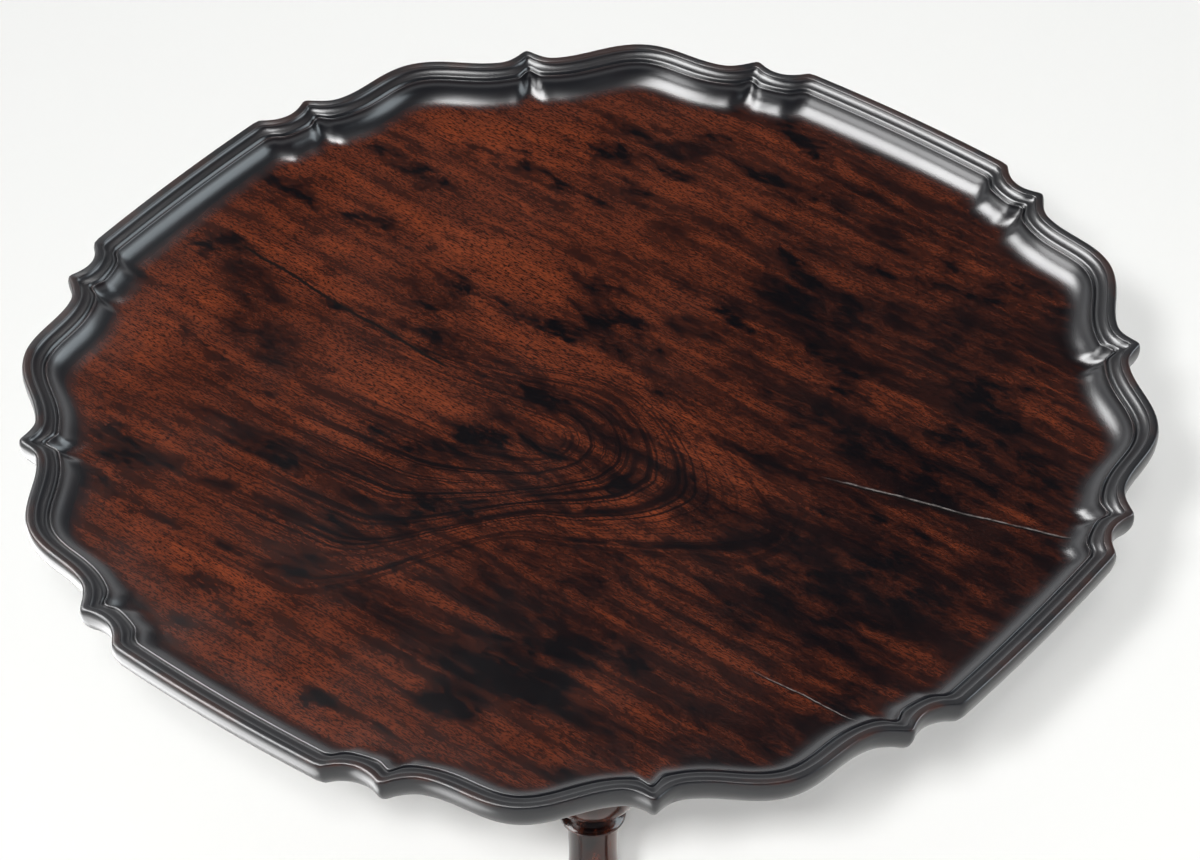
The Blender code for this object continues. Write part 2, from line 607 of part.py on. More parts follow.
def make_collar(finish):
    """The loose ring between the wedge and the lower block."""
    bore = JOURNAL_RADIUS + GAP
    edge = COLLAR_RADIUS - 0.003
    profile = [(bore, COLLAR_BOTTOM), (COLLAR_RADIUS, COLLAR_BOTTOM), (COLLAR_RADIUS, COLLAR_BOTTOM + 0.004)]
    profile += swell((edge, COLLAR_BOTTOM + 0.005), (edge, COLLAR_TOP), 0.003, 4)
    profile += [(edge - 0.001, COLLAR_TOP), (bore, COLLAR_TOP)]
    return turned("collar_ring", profile, COLUMN_FACETS, closed=True, finish=finish)


# Legs ------------------------------------------------------------------------------------------
def leg_stations():
    """Along a leg: distance out, height, tilt of its line in degrees, half depth and width, squareness."""
    root = LEG_ROOT_HEIGHT / 2
    width = LEG_ROOT_WIDTH / 2
    middle = DRUM_BOTTOM + root
    reach = LEG_SPREAD - SEAT_RADIUS
    return [
        (SEAT_RADIUS, middle, 0, root, width, 8.0),
        (SEAT_RADIUS + 0.10 * reach, middle - 0.0010, -2, root - 0.0012, width, 7.0),
        (SEAT_RADIUS + 0.21 * reach, 0.960 * middle, -18, 0.80 * root, width, 5.0),
        (SEAT_RADIUS + 0.32 * reach, 0.866 * middle, -32, 0.64 * root, 0.97 * width, 4.0),
        (SEAT_RADIUS + 0.43 * reach, 0.723 * middle, -40, 0.51 * root, 0.92 * width, 3.0),
        (SEAT_RADIUS + 0.54 * reach, 0.560 * middle, -41, 0.42 * root, 0.86 * width, 2.6),
        (SEAT_RADIUS + 0.65 * reach, 0.405 * middle, -37, 0.35 * root, 0.80 * width, 2.4),
        (SEAT_RADIUS + 0.76 * reach, 0.278 * middle, -30, 0.31 * root, 0.76 * width, 2.2),
        (SEAT_RADIUS + 0.87 * reach, 0.185 * middle, -24, 0.29 * root, 0.78 * width, 2.0),
        (SEAT_RADIUS + 0.97 * reach, 0.112 * middle, -22, 0.25 * root, 0.90 * width, 2.0),
    ]


def leg_ring(out, height, tilt, half_depth, half_width, squareness):
    """A leg's cross-section: a superellipse square to the leg's line."""
    lean = math.radians(tilt)
    points = []
    for k in range(LEG_FACETS):
        turn = 2 * math.pi * (k + 0.5) / LEG_FACETS
        c, s = math.cos(turn), math.sin(turn)
        across = half_width * math.copysign(abs(c) ** (2 / squareness), c)
        up = half_depth * math.copysign(abs(s) ** (2 / squareness), s)
        points.append((out - up * math.sin(lean), across, height + up * math.cos(lean)))
    return points


def make_foot():
    """A turned pad foot."""
    profile = [(0.66 * FOOT_RADIUS, 0.0), (0.74 * FOOT_RADIUS, 0.003)]
    for turn in (-50, -20, 15, 50, 75):
        t = math.radians(turn)
        profile.append((FOOT_RADIUS * math.cos(t) ** 0.8, 0.5 * FOOT_HEIGHT * (1 + math.sin(t))))
    return place(turned("foot", profile, FOOT_FACETS), (LEG_SPREAD, 0.0, 0.0))


def make_leg(name, turn, finish):
    """A cabriole leg with its foot and dovetail, and the hole for the plate's nail."""
    leg = stack(name, [leg_ring(*station) for station in leg_stations()], finish=finish, sharp_angle=35.0)
    join(leg, make_foot())
    join(leg, dovetail(0.0, DRUM_BOTTOM, DRUM_BOTTOM + DOVETAIL_HEIGHT))
    hole = bore(NAIL_RADIUS + GAP, -0.01, NAIL_LENGTH + GAP, SMALL_FACETS)
    cut(leg, place(hole, (PLATE_NAIL_PLACE, 0.0, DRUM_BOTTOM)))
    return place(leg, rotation=turn)


# Iron plate ------------------------------------------------------------------------------------
def nail_places():
    """The plate's nails: one in the column and one in each leg."""
    arms = [turn @ Vector((PLATE_NAIL_PLACE, 0.0, 0.0)) for turn in leg_turns()]
    return [(0.0, 0.0)] + [(arm.x, arm.y) for arm in arms]


def make_plate(finish):
    """The three-armed plate nailed under the column and the legs."""
    low, high = DRUM_BOTTOM - GAP - PLATE_THICKNESS, DRUM_BOTTOM - GAP
    plate = turned("spider_plate", [(PLATE_HUB_RADIUS, low), (PLATE_HUB_RADIUS, high)], PLATE_FACETS,
                   finish=finish)
    half = PLATE_ARM_WIDTH / 2
    for turn in leg_turns():
        tip = PLATE_ARM - half
        ends = [math.radians(angle) for angle in range(0, 181, 30)]
        outline = [(0.0, -half)]
        outline += [(tip + half * math.sin(end), -half * math.cos(end)) for end in ends]
        outline += [(0.0, half)]
        arm = stack("arm", [[(x, y, z) for x, y in outline] for z in (low, high)])
        join(plate, place(arm, rotation=turn))
    for x, y in nail_places():
        drill(plate, NAIL_RADIUS + GAP, x, y, low, high, SMALL_FACETS)
    return plate


def make_nails(finish):
    """Nails with domed heads, driven up through the plate."""
    face = DRUM_BOTTOM - 2 * GAP - PLATE_THICKNESS
    profile = [(0.5 * NAIL_HEAD_RADIUS, face - NAIL_HEAD_HEIGHT)]
    profile += [(0.85 * NAIL_HEAD_RADIUS, face - 0.7 * NAIL_HEAD_HEIGHT), (NAIL_HEAD_RADIUS, face)]
    profile += [(NAIL_RADIUS, face), (NAIL_RADIUS, DRUM_BOTTOM + 0.6 * NAIL_LENGTH)]
    profile += [(0.3 * NAIL_RADIUS, DRUM_BOTTOM + NAIL_LENGTH)]
    for number, (x, y) in enumerate(nail_places(), 1):
        place(turned(f"plate_nail_{number}", profile, SMALL_FACETS, finish=finish), (x, y, 0.0))


# Catch and keeper ------------------------------------------------------------------------------
def catch_screw_places():
    across = (CATCH_PLATE_WIDTH + CATCH_CASE_WIDTH) / 4
    along = (CATCH_NOSE - 0.14 * CATCH_LENGTH, CATCH_NOSE - 0.86 * CATCH_LENGTH)
    return [(side * across, y) for y in along for side in (-1, 1)]


def make_catch_case(finish):
    """The plate and the case in one casting, with the bolt's channel and the knob's slot."""
    back = CATCH_NOSE - CATCH_LENGTH
    half_plate = CATCH_PLATE_WIDTH / 2
    half_case = CATCH_CASE_WIDTH / 2
    case = box("catch_case", (-half_plate, back, CATCH_CASE_TOP), (half_plate, CATCH_NOSE, CATCH_TOP), finish)
    body = box("body", (-half_case, back + 0.002, CATCH_BOTTOM),
               (half_case, CATCH_NOSE, CATCH_CASE_TOP + 0.001))
    join(case, body)
    half_channel = BOLT_WIDTH / 2 + GAP
    channel_back = CATCH_NOSE - BOLT_LENGTH - GAP
    cut(case, box("channel", (-half_channel, channel_back, CHANNEL_BOTTOM),
                  (half_channel, CATCH_NOSE + 0.01, CATCH_CASE_TOP)))
    half_slot = KNOB_STEM_RADIUS + GAP
    cut(case, box("slot", (-half_slot, KNOB_Y - half_slot, CATCH_BOTTOM - 0.01),
                  (half_slot, KNOB_Y + BOLT_THROW + half_slot, CHANNEL_BOTTOM + 0.001)))
    for x, y in catch_screw_places():
        cut(case, place(small_countersink(), (x, y, CATCH_CASE_TOP + GAP)))
    return case


def make_catch_bolt(finish):
    """The square bolt, drawn back, with the hole for its knob's stem."""
    half = BOLT_WIDTH / 2
    low = BOLT_TOP - BOLT_DEPTH
    bolt = box("catch_bolt", (-half, CATCH_NOSE - BOLT_LENGTH, low), (half, CATCH_NOSE, BOLT_TOP), finish)
    hole = bore(KNOB_STEM_RADIUS + GAP, low - 0.01, BOLT_Z + GAP, STEM_FACETS)
    return cut(bolt, place(hole, (0.0, KNOB_Y, 0.0)))


def make_catch_knob(finish):
    """The turned knob under the case, on a stem that goes up into the bolt."""
    face = CATCH_BOTTOM - GAP
    low = face - KNOB_LENGTH
    profile = [(0.55 * KNOB_RADIUS, low), (0.9 * KNOB_RADIUS, low + 0.12 * KNOB_LENGTH),
               (KNOB_RADIUS, low + 0.3 * KNOB_LENGTH), (0.85 * KNOB_RADIUS, low + 0.48 * KNOB_LENGTH),
               (0.45 * KNOB_RADIUS, low + 0.66 * KNOB_LENGTH), (0.45 * KNOB_RADIUS, low + 0.84 * KNOB_LENGTH),
               (0.65 * KNOB_RADIUS, low + 0.9 * KNOB_LENGTH), (0.65 * KNOB_RADIUS, face),
               (KNOB_STEM_RADIUS, face), (KNOB_STEM_RADIUS, BOLT_Z)]
    return place(turned("catch_knob", profile, STEM_FACETS, finish=finish), (0.0, KNOB_Y, 0.0))


def make_catch_spring(finish):
    """The bowed leaf that presses on the bolt and holds it by friction."""
    half = BOLT_WIDTH / 2 - GAP
    middle = CATCH_NOSE - BOLT_LENGTH / 2
    length = 0.55 * BOLT_LENGTH
    steps = 8
    low = BOLT_TOP + GAP
    shares = [k / steps for k in range(steps + 1)]
    line = [(middle + length * (t - 0.5), low + SPRING_BOW * math.sin(math.pi * t)) for t in shares]
    outline = line + [(y, z + SPRING_THICKNESS) for y, z in reversed(line)]
    return prism_along_x("catch_spring", outline, -half, half, finish)


def make_catch_screws(finish):
    for number, (x, y) in enumerate(catch_screw_places(), 1):
        place(small_screw(f"catch_screw_{number}", finish), (x, y, CATCH_CASE_TOP + GAP))


def bolt_mortise():
    """The hole that the thrown bolt enters, through the keeper and into the block."""
    half = BOLT_WIDTH / 2 + 2 * GAP
    depth = BOLT_THROW + 0.002
    return box("mortise", (-half, CATCH_NOSE, BOLT_Z - BOLT_DEPTH / 2 - 2 * GAP),
               (half, CATCH_NOSE + depth, BOLT_Z + BOLT_DEPTH / 2 + 2 * GAP))


def keeper_screw_places():
    return (-0.36 * KEEPER_WIDTH, 0.36 * KEEPER_WIDTH)


def place_keeper_screw(obj, x):
    """Turn a screw or its hole to point back into the block, with its head's face on the keeper's."""
    return place(obj, (x, KEEPER_FRONT + GAP, PINTLE_Z), Matrix.Rotation(-math.pi / 2, 4, "X"))


def make_keeper(finish):
    """The plate on the block's front edge that the bolt goes through."""
    half = KEEPER_WIDTH / 2
    keeper = box("keeper_plate", (-half, KEEPER_FRONT, PINTLE_Z - KEEPER_HEIGHT / 2),
                 (half, KEEPER_BACK, PINTLE_Z + KEEPER_HEIGHT / 2), finish)
    cut(keeper, bolt_mortise())
    for x in keeper_screw_places():
        cut(keeper, place_keeper_screw(small_countersink(), x))
    return keeper


def make_keeper_screws(finish):
    for number, x in enumerate(keeper_screw_places(), 1):
        place_keeper_screw(small_screw(f"keeper_screw_{number}", finish), x)


def main():
    for obj in list(bpy.data.objects):
        bpy.data.objects.remove(obj)

    top_wood = material("dark_rosewood", (0.075, 0.016, 0.008), 0.28)
    base_wood = material("dark_mahogany", (0.060, 0.015, 0.009), 0.34)
    batten_wood = material("plain_mahogany", (0.110, 0.040, 0.020), 0.55)
    brass = material("aged_brass", (0.47, 0.32, 0.12), 0.38, 1.0)
    iron = material("wrought_iron", (0.045, 0.042, 0.040), 0.62, 1.0)

    make_top_board(top_wood)
    make_batten("batten_left", -1, batten_wood)
    make_batten("batten_right", 1, batten_wood)
    make_batten_screws(iron)
    make_upper_block(batten_wood)
    make_lower_block(base_wood)
    make_pillars(base_wood)
    make_column(base_wood)
    make_collar(base_wood)
    make_wedge(batten_wood)
    for name, turn in zip(LEG_DIRECTIONS, leg_turns()):
        make_leg(name, turn, base_wood)
    make_plate(iron)
    make_nails(iron)
    make_catch_case(brass)
    make_catch_bolt(brass)
    make_catch_knob(brass)
    make_catch_spring(brass)
    make_catch_screws(brass)
    make_keeper(brass)
    make_keeper_screws(brass)


main()
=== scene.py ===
"""The looks of the tilt-top table: its carved top, turned column and legs, and their finishes.

Everything is in metres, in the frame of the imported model: +Z up, -Y the table's front, the top's
grain along X.
"""
import math

import bmesh
import bpy
from mathutils import Matrix, Vector


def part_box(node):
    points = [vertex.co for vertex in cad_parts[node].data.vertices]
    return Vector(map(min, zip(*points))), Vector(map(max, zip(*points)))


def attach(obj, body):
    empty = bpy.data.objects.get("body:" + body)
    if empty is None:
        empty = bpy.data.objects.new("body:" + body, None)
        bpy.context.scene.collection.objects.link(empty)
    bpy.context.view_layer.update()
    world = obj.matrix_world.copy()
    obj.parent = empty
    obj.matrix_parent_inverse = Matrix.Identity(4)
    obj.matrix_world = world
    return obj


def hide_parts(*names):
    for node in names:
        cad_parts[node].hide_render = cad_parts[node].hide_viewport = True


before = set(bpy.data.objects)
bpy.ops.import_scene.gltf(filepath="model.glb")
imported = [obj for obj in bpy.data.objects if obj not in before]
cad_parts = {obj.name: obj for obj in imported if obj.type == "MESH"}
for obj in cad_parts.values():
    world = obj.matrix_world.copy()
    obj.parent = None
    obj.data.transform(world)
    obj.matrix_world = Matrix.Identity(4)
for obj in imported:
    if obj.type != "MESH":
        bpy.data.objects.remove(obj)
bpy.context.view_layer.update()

# The top, as the frame gives it ------------------------------------------------------------------
TOP_LOW, TOP_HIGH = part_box("top_board")
ARRIS = TOP_HIGH.z
UNDERSIDE = TOP_LOW.z

# Camera, in the table's frame
RADIUS = 0.380                # axis to a cusp of the top
CAMERA_DISTANCE = 8.046 * RADIUS
CAMERA_BACK = Vector((0.46620, -0.57693, 0.67065))
CAMERA_TARGET = Vector((0.0828 * RADIUS, -0.0616 * RADIUS, ARRIS - 0.0012))
CAMERA_ROLL = -0.0156
CAMERA_LENS_PER_WIDTH = 3.8277        # focal length over the picture's width
SENSOR_WIDTH = 36.0

# Outline of the top: four sides, and between each two a scallop, a lobe, a cusp, a lobe, a scallop
CORNER_REACH = 0.0014
SIDE_CORNER = math.radians(13.15)
SCALLOP_CORNER = math.radians(19.1)
OUTER_DIP = math.radians(22.7)
LOBE_CREST = math.radians(32.0)
INNER_DIP = math.radians(42.0)
CUSP = math.radians(45.0)
SIDE_BOW = 0.0024
SCALLOP_DEPTH = 0.0090
OUTER_DIP_DEPTH = 0.0106
LOBE_RISE = 0.0043
INNER_DIP_DEPTH = 0.0118
OUT_OF_SQUARE = 0.0019

# Section of the rim: distances in from the arris and drops below it
FIELD_DEPTH = 0.0175
RIM_WIDTH = 0.0370
SIDE_HEIGHT = 0.0050
RIM_BULGE = 0.0005
UNDER_ROUND = 0.0180
ARRIS_WEAR = 0.6              # degrees over which the outline's corners are worn round at the arris
FIELD_WEAR = 2.6              # and where the cove meets the field
RIM_FADE_START = 0.0260       # inset at which the rim's dark tone begins to fade towards the field
RIM_FADE = 0.88               # and the share of it that is gone where the cove meets the field
FIELD_RINGS = 14


def ease(t):
    """Smooth step from 0 to 1 with level ends."""
    return (1 - math.cos(math.pi * t)) / 2


def square_radius(angle):
    """Distance from the axis to the arris of a top with four like sides."""
    quarter = math.pi / 2
    a = abs((angle + quarter / 2) % quarter - quarter / 2)
    corner = RADIUS + CORNER_REACH
    if a <= SIDE_CORNER:
        half_chord = corner * math.sin(SIDE_CORNER)
        radius = (half_chord ** 2 + SIDE_BOW ** 2) / (2 * SIDE_BOW)
        centre = corner * math.cos(SIDE_CORNER) + SIDE_BOW - radius
        return centre * math.cos(a) + math.sqrt(radius ** 2 - (centre * math.sin(a)) ** 2)
    if a <= SCALLOP_CORNER:
        middle = (SIDE_CORNER + SCALLOP_CORNER) / 2
        across = (a - middle) / (SCALLOP_CORNER - middle)
        return corner - SCALLOP_DEPTH * (1 - across ** 2)
    outer_dip = RADIUS - OUTER_DIP_DEPTH
    crest = RADIUS + LOBE_RISE
    inner_dip = RADIUS - INNER_DIP_DEPTH
    if a <= OUTER_DIP:
        t = (OUTER_DIP - a) / (OUTER_DIP - SCALLOP_CORNER)
        return corner + (outer_dip - corner) * math.sin(math.pi / 2 * (1 - t))
    if a <= LOBE_CREST:
        return outer_dip + (crest - outer_dip) * ease((a - OUTER_DIP) / (LOBE_CREST - OUTER_DIP))
    if a <= INNER_DIP:
        return crest + (inner_dip - crest) * ease((a - LOBE_CREST) / (INNER_DIP - LOBE_CREST))
    t = (CUSP - a) / (CUSP - INNER_DIP)
    return RADIUS + (inner_dip - RADIUS) * math.sin(math.pi / 2 * t)


def outline_radius(angle):
    """Distance from the axis to the arris, at an angle from X."""
    return square_radius(angle) - OUT_OF_SQUARE * math.cos(2 * angle)


def worn_radius(angle, wear):
    """The outline with its corners rounded, as an average over wear degrees to each side."""
    reach = math.radians(wear)
    steps = 6
    total = 0.0
    weights = 0.0
    for k in range(-steps, steps + 1):
        weight = 1 + math.cos(math.pi * k / (steps + 1))
        total += weight * outline_radius(angle + reach * k / steps)
        weights += weight
    return total / weights


def inset_radius(angle, inset, wear):
    """The rounded outline, moved in square to itself."""
    step = 2e-3
    here = worn_radius(angle, wear)
    slope = (worn_radius(angle + step, wear) - worn_radius(angle - step, wear)) / (2 * step * here)
    return here - inset * math.hypot(1, slope)


def outline_angles():
    """Angles of the outline's points, closer together where it curves more."""
    ends = (0.0, SIDE_CORNER, SCALLOP_CORNER, OUTER_DIP, LOBE_CREST, INNER_DIP, CUSP)
    counts = (18, 20, 14, 20, 22, 16)
    eighth = [a + (b - a) * k / n for a, b, n in zip(ends, ends[1:], counts) for k in range(n)]
    quarter = eighth + [CUSP] + [2 * CUSP - a for a in reversed(eighth[1:])]
    return [side * math.pi / 2 + a for side in range(4) for a in quarter]


def arc(centre, size, start, end, steps):
    """Points of an elliptic arc in the section, from one angle in degrees to another."""
    points = []
    for k in range(steps + 1):
        turn = math.radians(start + (end - start) * k / steps)
        points.append((centre[0] + size[0] * math.cos(turn), centre[1] + size[1] * math.sin(turn)))
    return points


def rim_section():
    """The rim's (inset, height above the arris, wear) points, from under the board to the field."""
    thick = ARRIS - UNDERSIDE
    reach = UNDER_ROUND + RIM_BULGE
    under = arc((UNDER_ROUND, -SIDE_HEIGHT), (-reach, -(thick - SIDE_HEIGHT)), 90, 0, 14)
    side = [(-RIM_BULGE, -0.0035), (-0.0002, -0.0020)]
    nose = arc((0.0012, -0.0012), (-0.0012, 0.0012), 10, 80, 5)
    lip = [(0.0024, -0.0001), (0.0040, -0.0003), (0.0050, -0.0005)]
    step = arc((0.0050, -0.0010), (0.0005, 0.0005), 70, 0, 3)
    strip = arc((0.0130, -0.0016), (-0.0072, -0.0026), 8, 82, 9)
    quirk = [(0.0133, -0.0047), (0.0137, -0.0056), (0.0143, -0.0060), (0.0147, -0.0057)]
    fillet = arc((0.0158, -0.0055), (-0.0009, 0.0008), 10, 130, 6)
    start, drop = 0.0166, 0.0053
    cove = arc((RIM_WIDTH, -drop), (start - RIM_WIDTH, drop - FIELD_DEPTH), 0, 90, 22)
    points = [(n, z, 0.0) for n, z in under]
    points += [(n, z, 0.15) for n, z in side]
    points += [(n, z, 1.0) for n, z in nose]
    points += [(n, z, 0.7) for n, z in lip]
    points += [(n, z, 0.6) for n, z in step]
    points += [(n, z, 0.1) for n, z in strip]
    points += [(n, z, 0.0) for n, z in quirk]
    points += [(n, z, 0.5) for n, z in fillet]
    points += [(n, z, 0.05) for n, z in cove]
    return points


def bridge(bm, rings):
    """Faces between each ring of vertices and the next."""
    for low, high in zip(rings, rings[1:]):
        for i, vert in enumerate(low):
            after = (i + 1) % len(low)
            bm.faces.new((vert, low[after], high[after], high[i]))


def make_top():
    """The carved top in one mesh, with attributes that say where it is worn and where it is rim."""
    angles = outline_angles()
    bm = bmesh.new()
    wear_of = []
    rim_of = []

    def add_ring(reach, z, wear, rim):
        ring = []
        for r, a in zip(reach, angles):
            ring.append(bm.verts.new((r * math.cos(a), r * math.sin(a), z)))
            wear_of.append(wear)
            rim_of.append(rim)
        return ring

    rings = []
    for inset, height, wear in rim_section():
        share = min(1.0, max(0.0, inset / RIM_WIDTH))
        rounding = ARRIS_WEAR + (FIELD_WEAR - ARRIS_WEAR) * share ** 0.9
        reach = [inset_radius(a, inset, rounding) for a in angles]
        rim = 1.0 - RIM_FADE * max(0.0, inset - RIM_FADE_START) / (RIM_WIDTH - RIM_FADE_START)
        rings.append(add_ring(reach, ARRIS + height, wear, rim))
    field_z = ARRIS - FIELD_DEPTH
    edge = [inset_radius(a, RIM_WIDTH, FIELD_WEAR) for a in angles]
    middle = sum(edge) / len(edge)
    for k in range(1, FIELD_RINGS):
        share = 1 - k / FIELD_RINGS
        reach = [share * (middle + (r - middle) * share ** 2) for r in edge]
        rings.append(add_ring(reach, field_z, 0.0, 0.0))
    bridge(bm, rings)
    for ring, z, back in ((rings[-1], field_z, False), (rings[0], UNDERSIDE, True)):
        centre = bm.verts.new((0.0, 0.0, z))
        wear_of.append(0.0)
        rim_of.append(0.0)
        for i, vert in enumerate(ring):
            after = ring[(i + 1) % len(ring)]
            face = bm.faces.new((after, vert, centre) if back else (vert, after, centre))
            face.material_index = 1 if back else 0
    mesh = bpy.data.meshes.new("tray_top")
    bm.to_mesh(mesh)
    bm.free()
    for name, values in (("wear", wear_of), ("rim", rim_of)):
        attribute = mesh.attributes.new(name, "FLOAT", "POINT")
        attribute.data.foreach_set("value", values)
    mesh.shade_smooth()
    mesh.set_sharp_from_angle(angle=math.radians(48))
    top = bpy.data.objects.new("tray_top", mesh)
    bpy.context.scene.collection.objects.link(top)
    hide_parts("top_board")
    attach(top, "top")
    return top


# Materials ---------------------------------------------------------------------------------------
class Nodes:
    """A material's node tree, with short calls for the nodes used here."""

    def __init__(self, name, metallic=0.0, specular=0.5):
        self.material = bpy.data.materials.new(name)
        self.material.use_nodes = True
        self.tree = self.material.node_tree
        self.shader = self.tree.nodes["Principled BSDF"]
        self.shader.inputs["Metallic"].default_value = metallic
        self.shader.inputs["Specular IOR Level"].default_value = specular
        self.place = self.tree.nodes.new("ShaderNodeTexCoord").outputs["Object"]

    def link(self, source, target):
        self.tree.links.new(source, target)

    def set(self, socket, value):
        """Link a socket to another, or give it a plain value."""
        if isinstance(value, bpy.types.NodeSocket):
            self.link(value, socket)
        elif isinstance(value, (tuple, list)) and socket.type == "RGBA" and len(value) == 3:
            socket.default_value = (*value, 1.0)
        else:
            socket.default_value = value

    def math(self, operation, first, second=0.0, third=0.0):
        node = self.tree.nodes.new("ShaderNodeMath")
        node.operation = operation
        for socket, value in zip(node.inputs, (first, second, third)):
            self.set(socket, value)
        return node.outputs[0]

    def vector(self, operation, first, second=(0.0, 0.0, 0.0)):
        node = self.tree.nodes.new("ShaderNodeVectorMath")
        node.operation = operation
        self.set(node.inputs[0], first)
        self.set(node.inputs[1], second)
        return node.outputs["Value" if operation == "LENGTH" else "Vector"]

    def mapped(self, source, rotation=(0, 0, 0), scale=(1, 1, 1)):
        """The vector scaled and turned, in degrees."""
        node = self.tree.nodes.new("ShaderNodeMapping")
        self.link(source, node.inputs["Vector"])
        node.inputs["Rotation"].default_value = [math.radians(a) for a in rotation]
        node.inputs["Scale"].default_value = scale
        return node.outputs[0]

    def placed(self, source, x, y, turn, scale=(1, 1, 1)):
        """The point as seen from x, y, along axes turned by some degrees, in units of the scale."""
        node = self.tree.nodes.new("ShaderNodeMapping")
        node.vector_type = "TEXTURE"
        self.link(source, node.inputs["Vector"])
        node.inputs["Location"].default_value = (x, y, 0)
        node.inputs["Rotation"].default_value = (0, 0, math.radians(turn))
        node.inputs["Scale"].default_value = scale
        return node.outputs[0]

    def noise(self, source, scale, detail=3.0, roughness=0.5, color=False):
        node = self.tree.nodes.new("ShaderNodeTexNoise")
        self.link(source, node.inputs["Vector"])
        node.inputs["Scale"].default_value = scale
        node.inputs["Detail"].default_value = detail
        node.inputs["Roughness"].default_value = roughness
        return node.outputs["Color" if color else "Fac"]

    def remap(self, value, low, high, to_low=0.0, to_high=1.0):
        """A smooth step from one level to the other, as the value goes from low to high."""
        node = self.tree.nodes.new("ShaderNodeMapRange")
        node.interpolation_type = "SMOOTHSTEP"
        for name, number in (("Value", value), ("From Min", low), ("From Max", high),
                             ("To Min", to_low), ("To Max", to_high)):
            self.set(node.inputs[name], number)
        return node.outputs["Result"]

    def mix(self, factor, first, second):
        """Two colours mixed, with the factor held between 0 and 1."""
        node = self.tree.nodes.new("ShaderNodeMix")
        node.data_type = "RGBA"
        self.set(node.inputs[0], factor)
        self.set(node.inputs[6], first)
        self.set(node.inputs[7], second)
        return node.outputs[2]

    def split(self, source):
        node = self.tree.nodes.new("ShaderNodeSeparateXYZ")
        self.set(node.inputs[0], source)
        return node.outputs

    def join(self, x, y, z):
        node = self.tree.nodes.new("ShaderNodeCombineXYZ")
        for socket, value in zip(node.inputs, (x, y, z)):
            self.set(socket, value)
        return node.outputs[0]

    def attribute(self, name):
        node = self.tree.nodes.new("ShaderNodeAttribute")
        node.attribute_name = name
        return node.outputs["Fac"]

    def bump(self, height, strength, distance):
        node = self.tree.nodes.new("ShaderNodeBump")
        node.inputs["Strength"].default_value = strength
        node.inputs["Distance"].default_value = distance
        self.set(node.inputs["Height"], height)
        self.link(node.outputs[0], self.shader.inputs["Normal"])

    def finish(self, color, roughness):
        self.set(self.shader.inputs["Base Color"], color)
        self.set(self.shader.inputs["Roughness"], roughness)
        return self.material


def stretched_noise(n, grain, length, width, detail=2.0, roughness=0.6):
    """Noise drawn out along the grain: streaks of a length and a width."""
    cells = n.mapped(grain, scale=(1 / length, 1 / width, 1 / width))
    return n.noise(cells, 1.0, detail, roughness)


# Clouds of the field: place x, y, half length along the grain, half width, turn in degrees, depth
DARK_CLOUDS = (
    (-0.057, 0.275, 0.034, 0.009, 4, 0.80), (-0.119, 0.262, 0.022, 0.011, 20, 0.65),
    (0.000, 0.233, 0.046, 0.011, -3, 0.60), (0.050, 0.278, 0.016, 0.012, 0, 0.60),
    (0.076, 0.260, 0.026, 0.013, -8, 0.55), (0.228, 0.259, 0.030, 0.020, -30, 0.65),
    (0.057, 0.187, 0.058, 0.024, 6, 0.80), (0.093, 0.206, 0.038, 0.017, 0, 0.65),
    (0.094, 0.154, 0.055, 0.015, -4, 0.70), (-0.062, 0.179, 0.026, 0.015, 0, 0.50),
    (0.166, 0.210, 0.046, 0.034, -20, 0.60), (0.262, 0.134, 0.050, 0.022, -8, 0.80),
    (-0.244, 0.119, 0.008, 0.007, 0, 0.80), (-0.244, 0.161, 0.018, 0.009, 0, 0.55),
    (-0.088, 0.130, 0.040, 0.013, 3, 0.45), (0.010, 0.114, 0.026, 0.012, 24, 0.75),
    (0.176, 0.091, 0.070, 0.024, -4, 0.80), (0.226, 0.073, 0.052, 0.022, 6, 0.75),
    (0.166, 0.036, 0.062, 0.016, -4, 0.65), (-0.166, 0.026, 0.040, 0.010, 2, 0.60),
    (0.160, -0.021, 0.026, 0.040, 0, 0.50), (0.252, -0.021, 0.080, 0.045, 0, 0.72),
    (0.248, -0.073, 0.064, 0.028, -6, 0.72), (0.316, 0.041, 0.034, 0.060, 0, 0.60),
    (-0.311, -0.013, 0.030, 0.009, 0, 0.75), (-0.264, -0.041, 0.040, 0.020, -20, 0.65),
    (-0.214, -0.078, 0.050, 0.020, -8, 0.68), (-0.233, -0.124, 0.040, 0.022, 0, 0.40),
    (-0.166, -0.157, 0.085, 0.007, 8, 0.60), (-0.052, -0.176, 0.052, 0.022, 0, 0.50),
    (0.062, -0.124, 0.028, 0.013, 10, 0.45), (0.083, -0.176, 0.060, 0.020, 4, 0.55),
    (0.130, -0.187, 0.036, 0.020, 30, 0.80), (0.122, -0.223, 0.060, 0.028, -6, 0.92),
    (0.104, -0.266, 0.024, 0.020, 20, 0.92), (0.172, -0.228, 0.046, 0.014, 4, 0.70),
    (0.202, -0.269, 0.018, 0.011, 20, 0.80), (0.016, -0.228, 0.064, 0.015, -3, 0.40),
    (-0.040, -0.242, 0.046, 0.013, 4, 0.40), (0.275, -0.210, 0.026, 0.012, 30, 0.70),
    (-0.104, -0.336, 0.046, 0.018, -10, 0.70), (0.316, -0.140, 0.030, 0.024, 50, 0.60),
    (-0.010, -0.128, 0.046, 0.006, 32, 0.60), (0.060, -0.041, 0.008, 0.022, -12, 0.80),
)
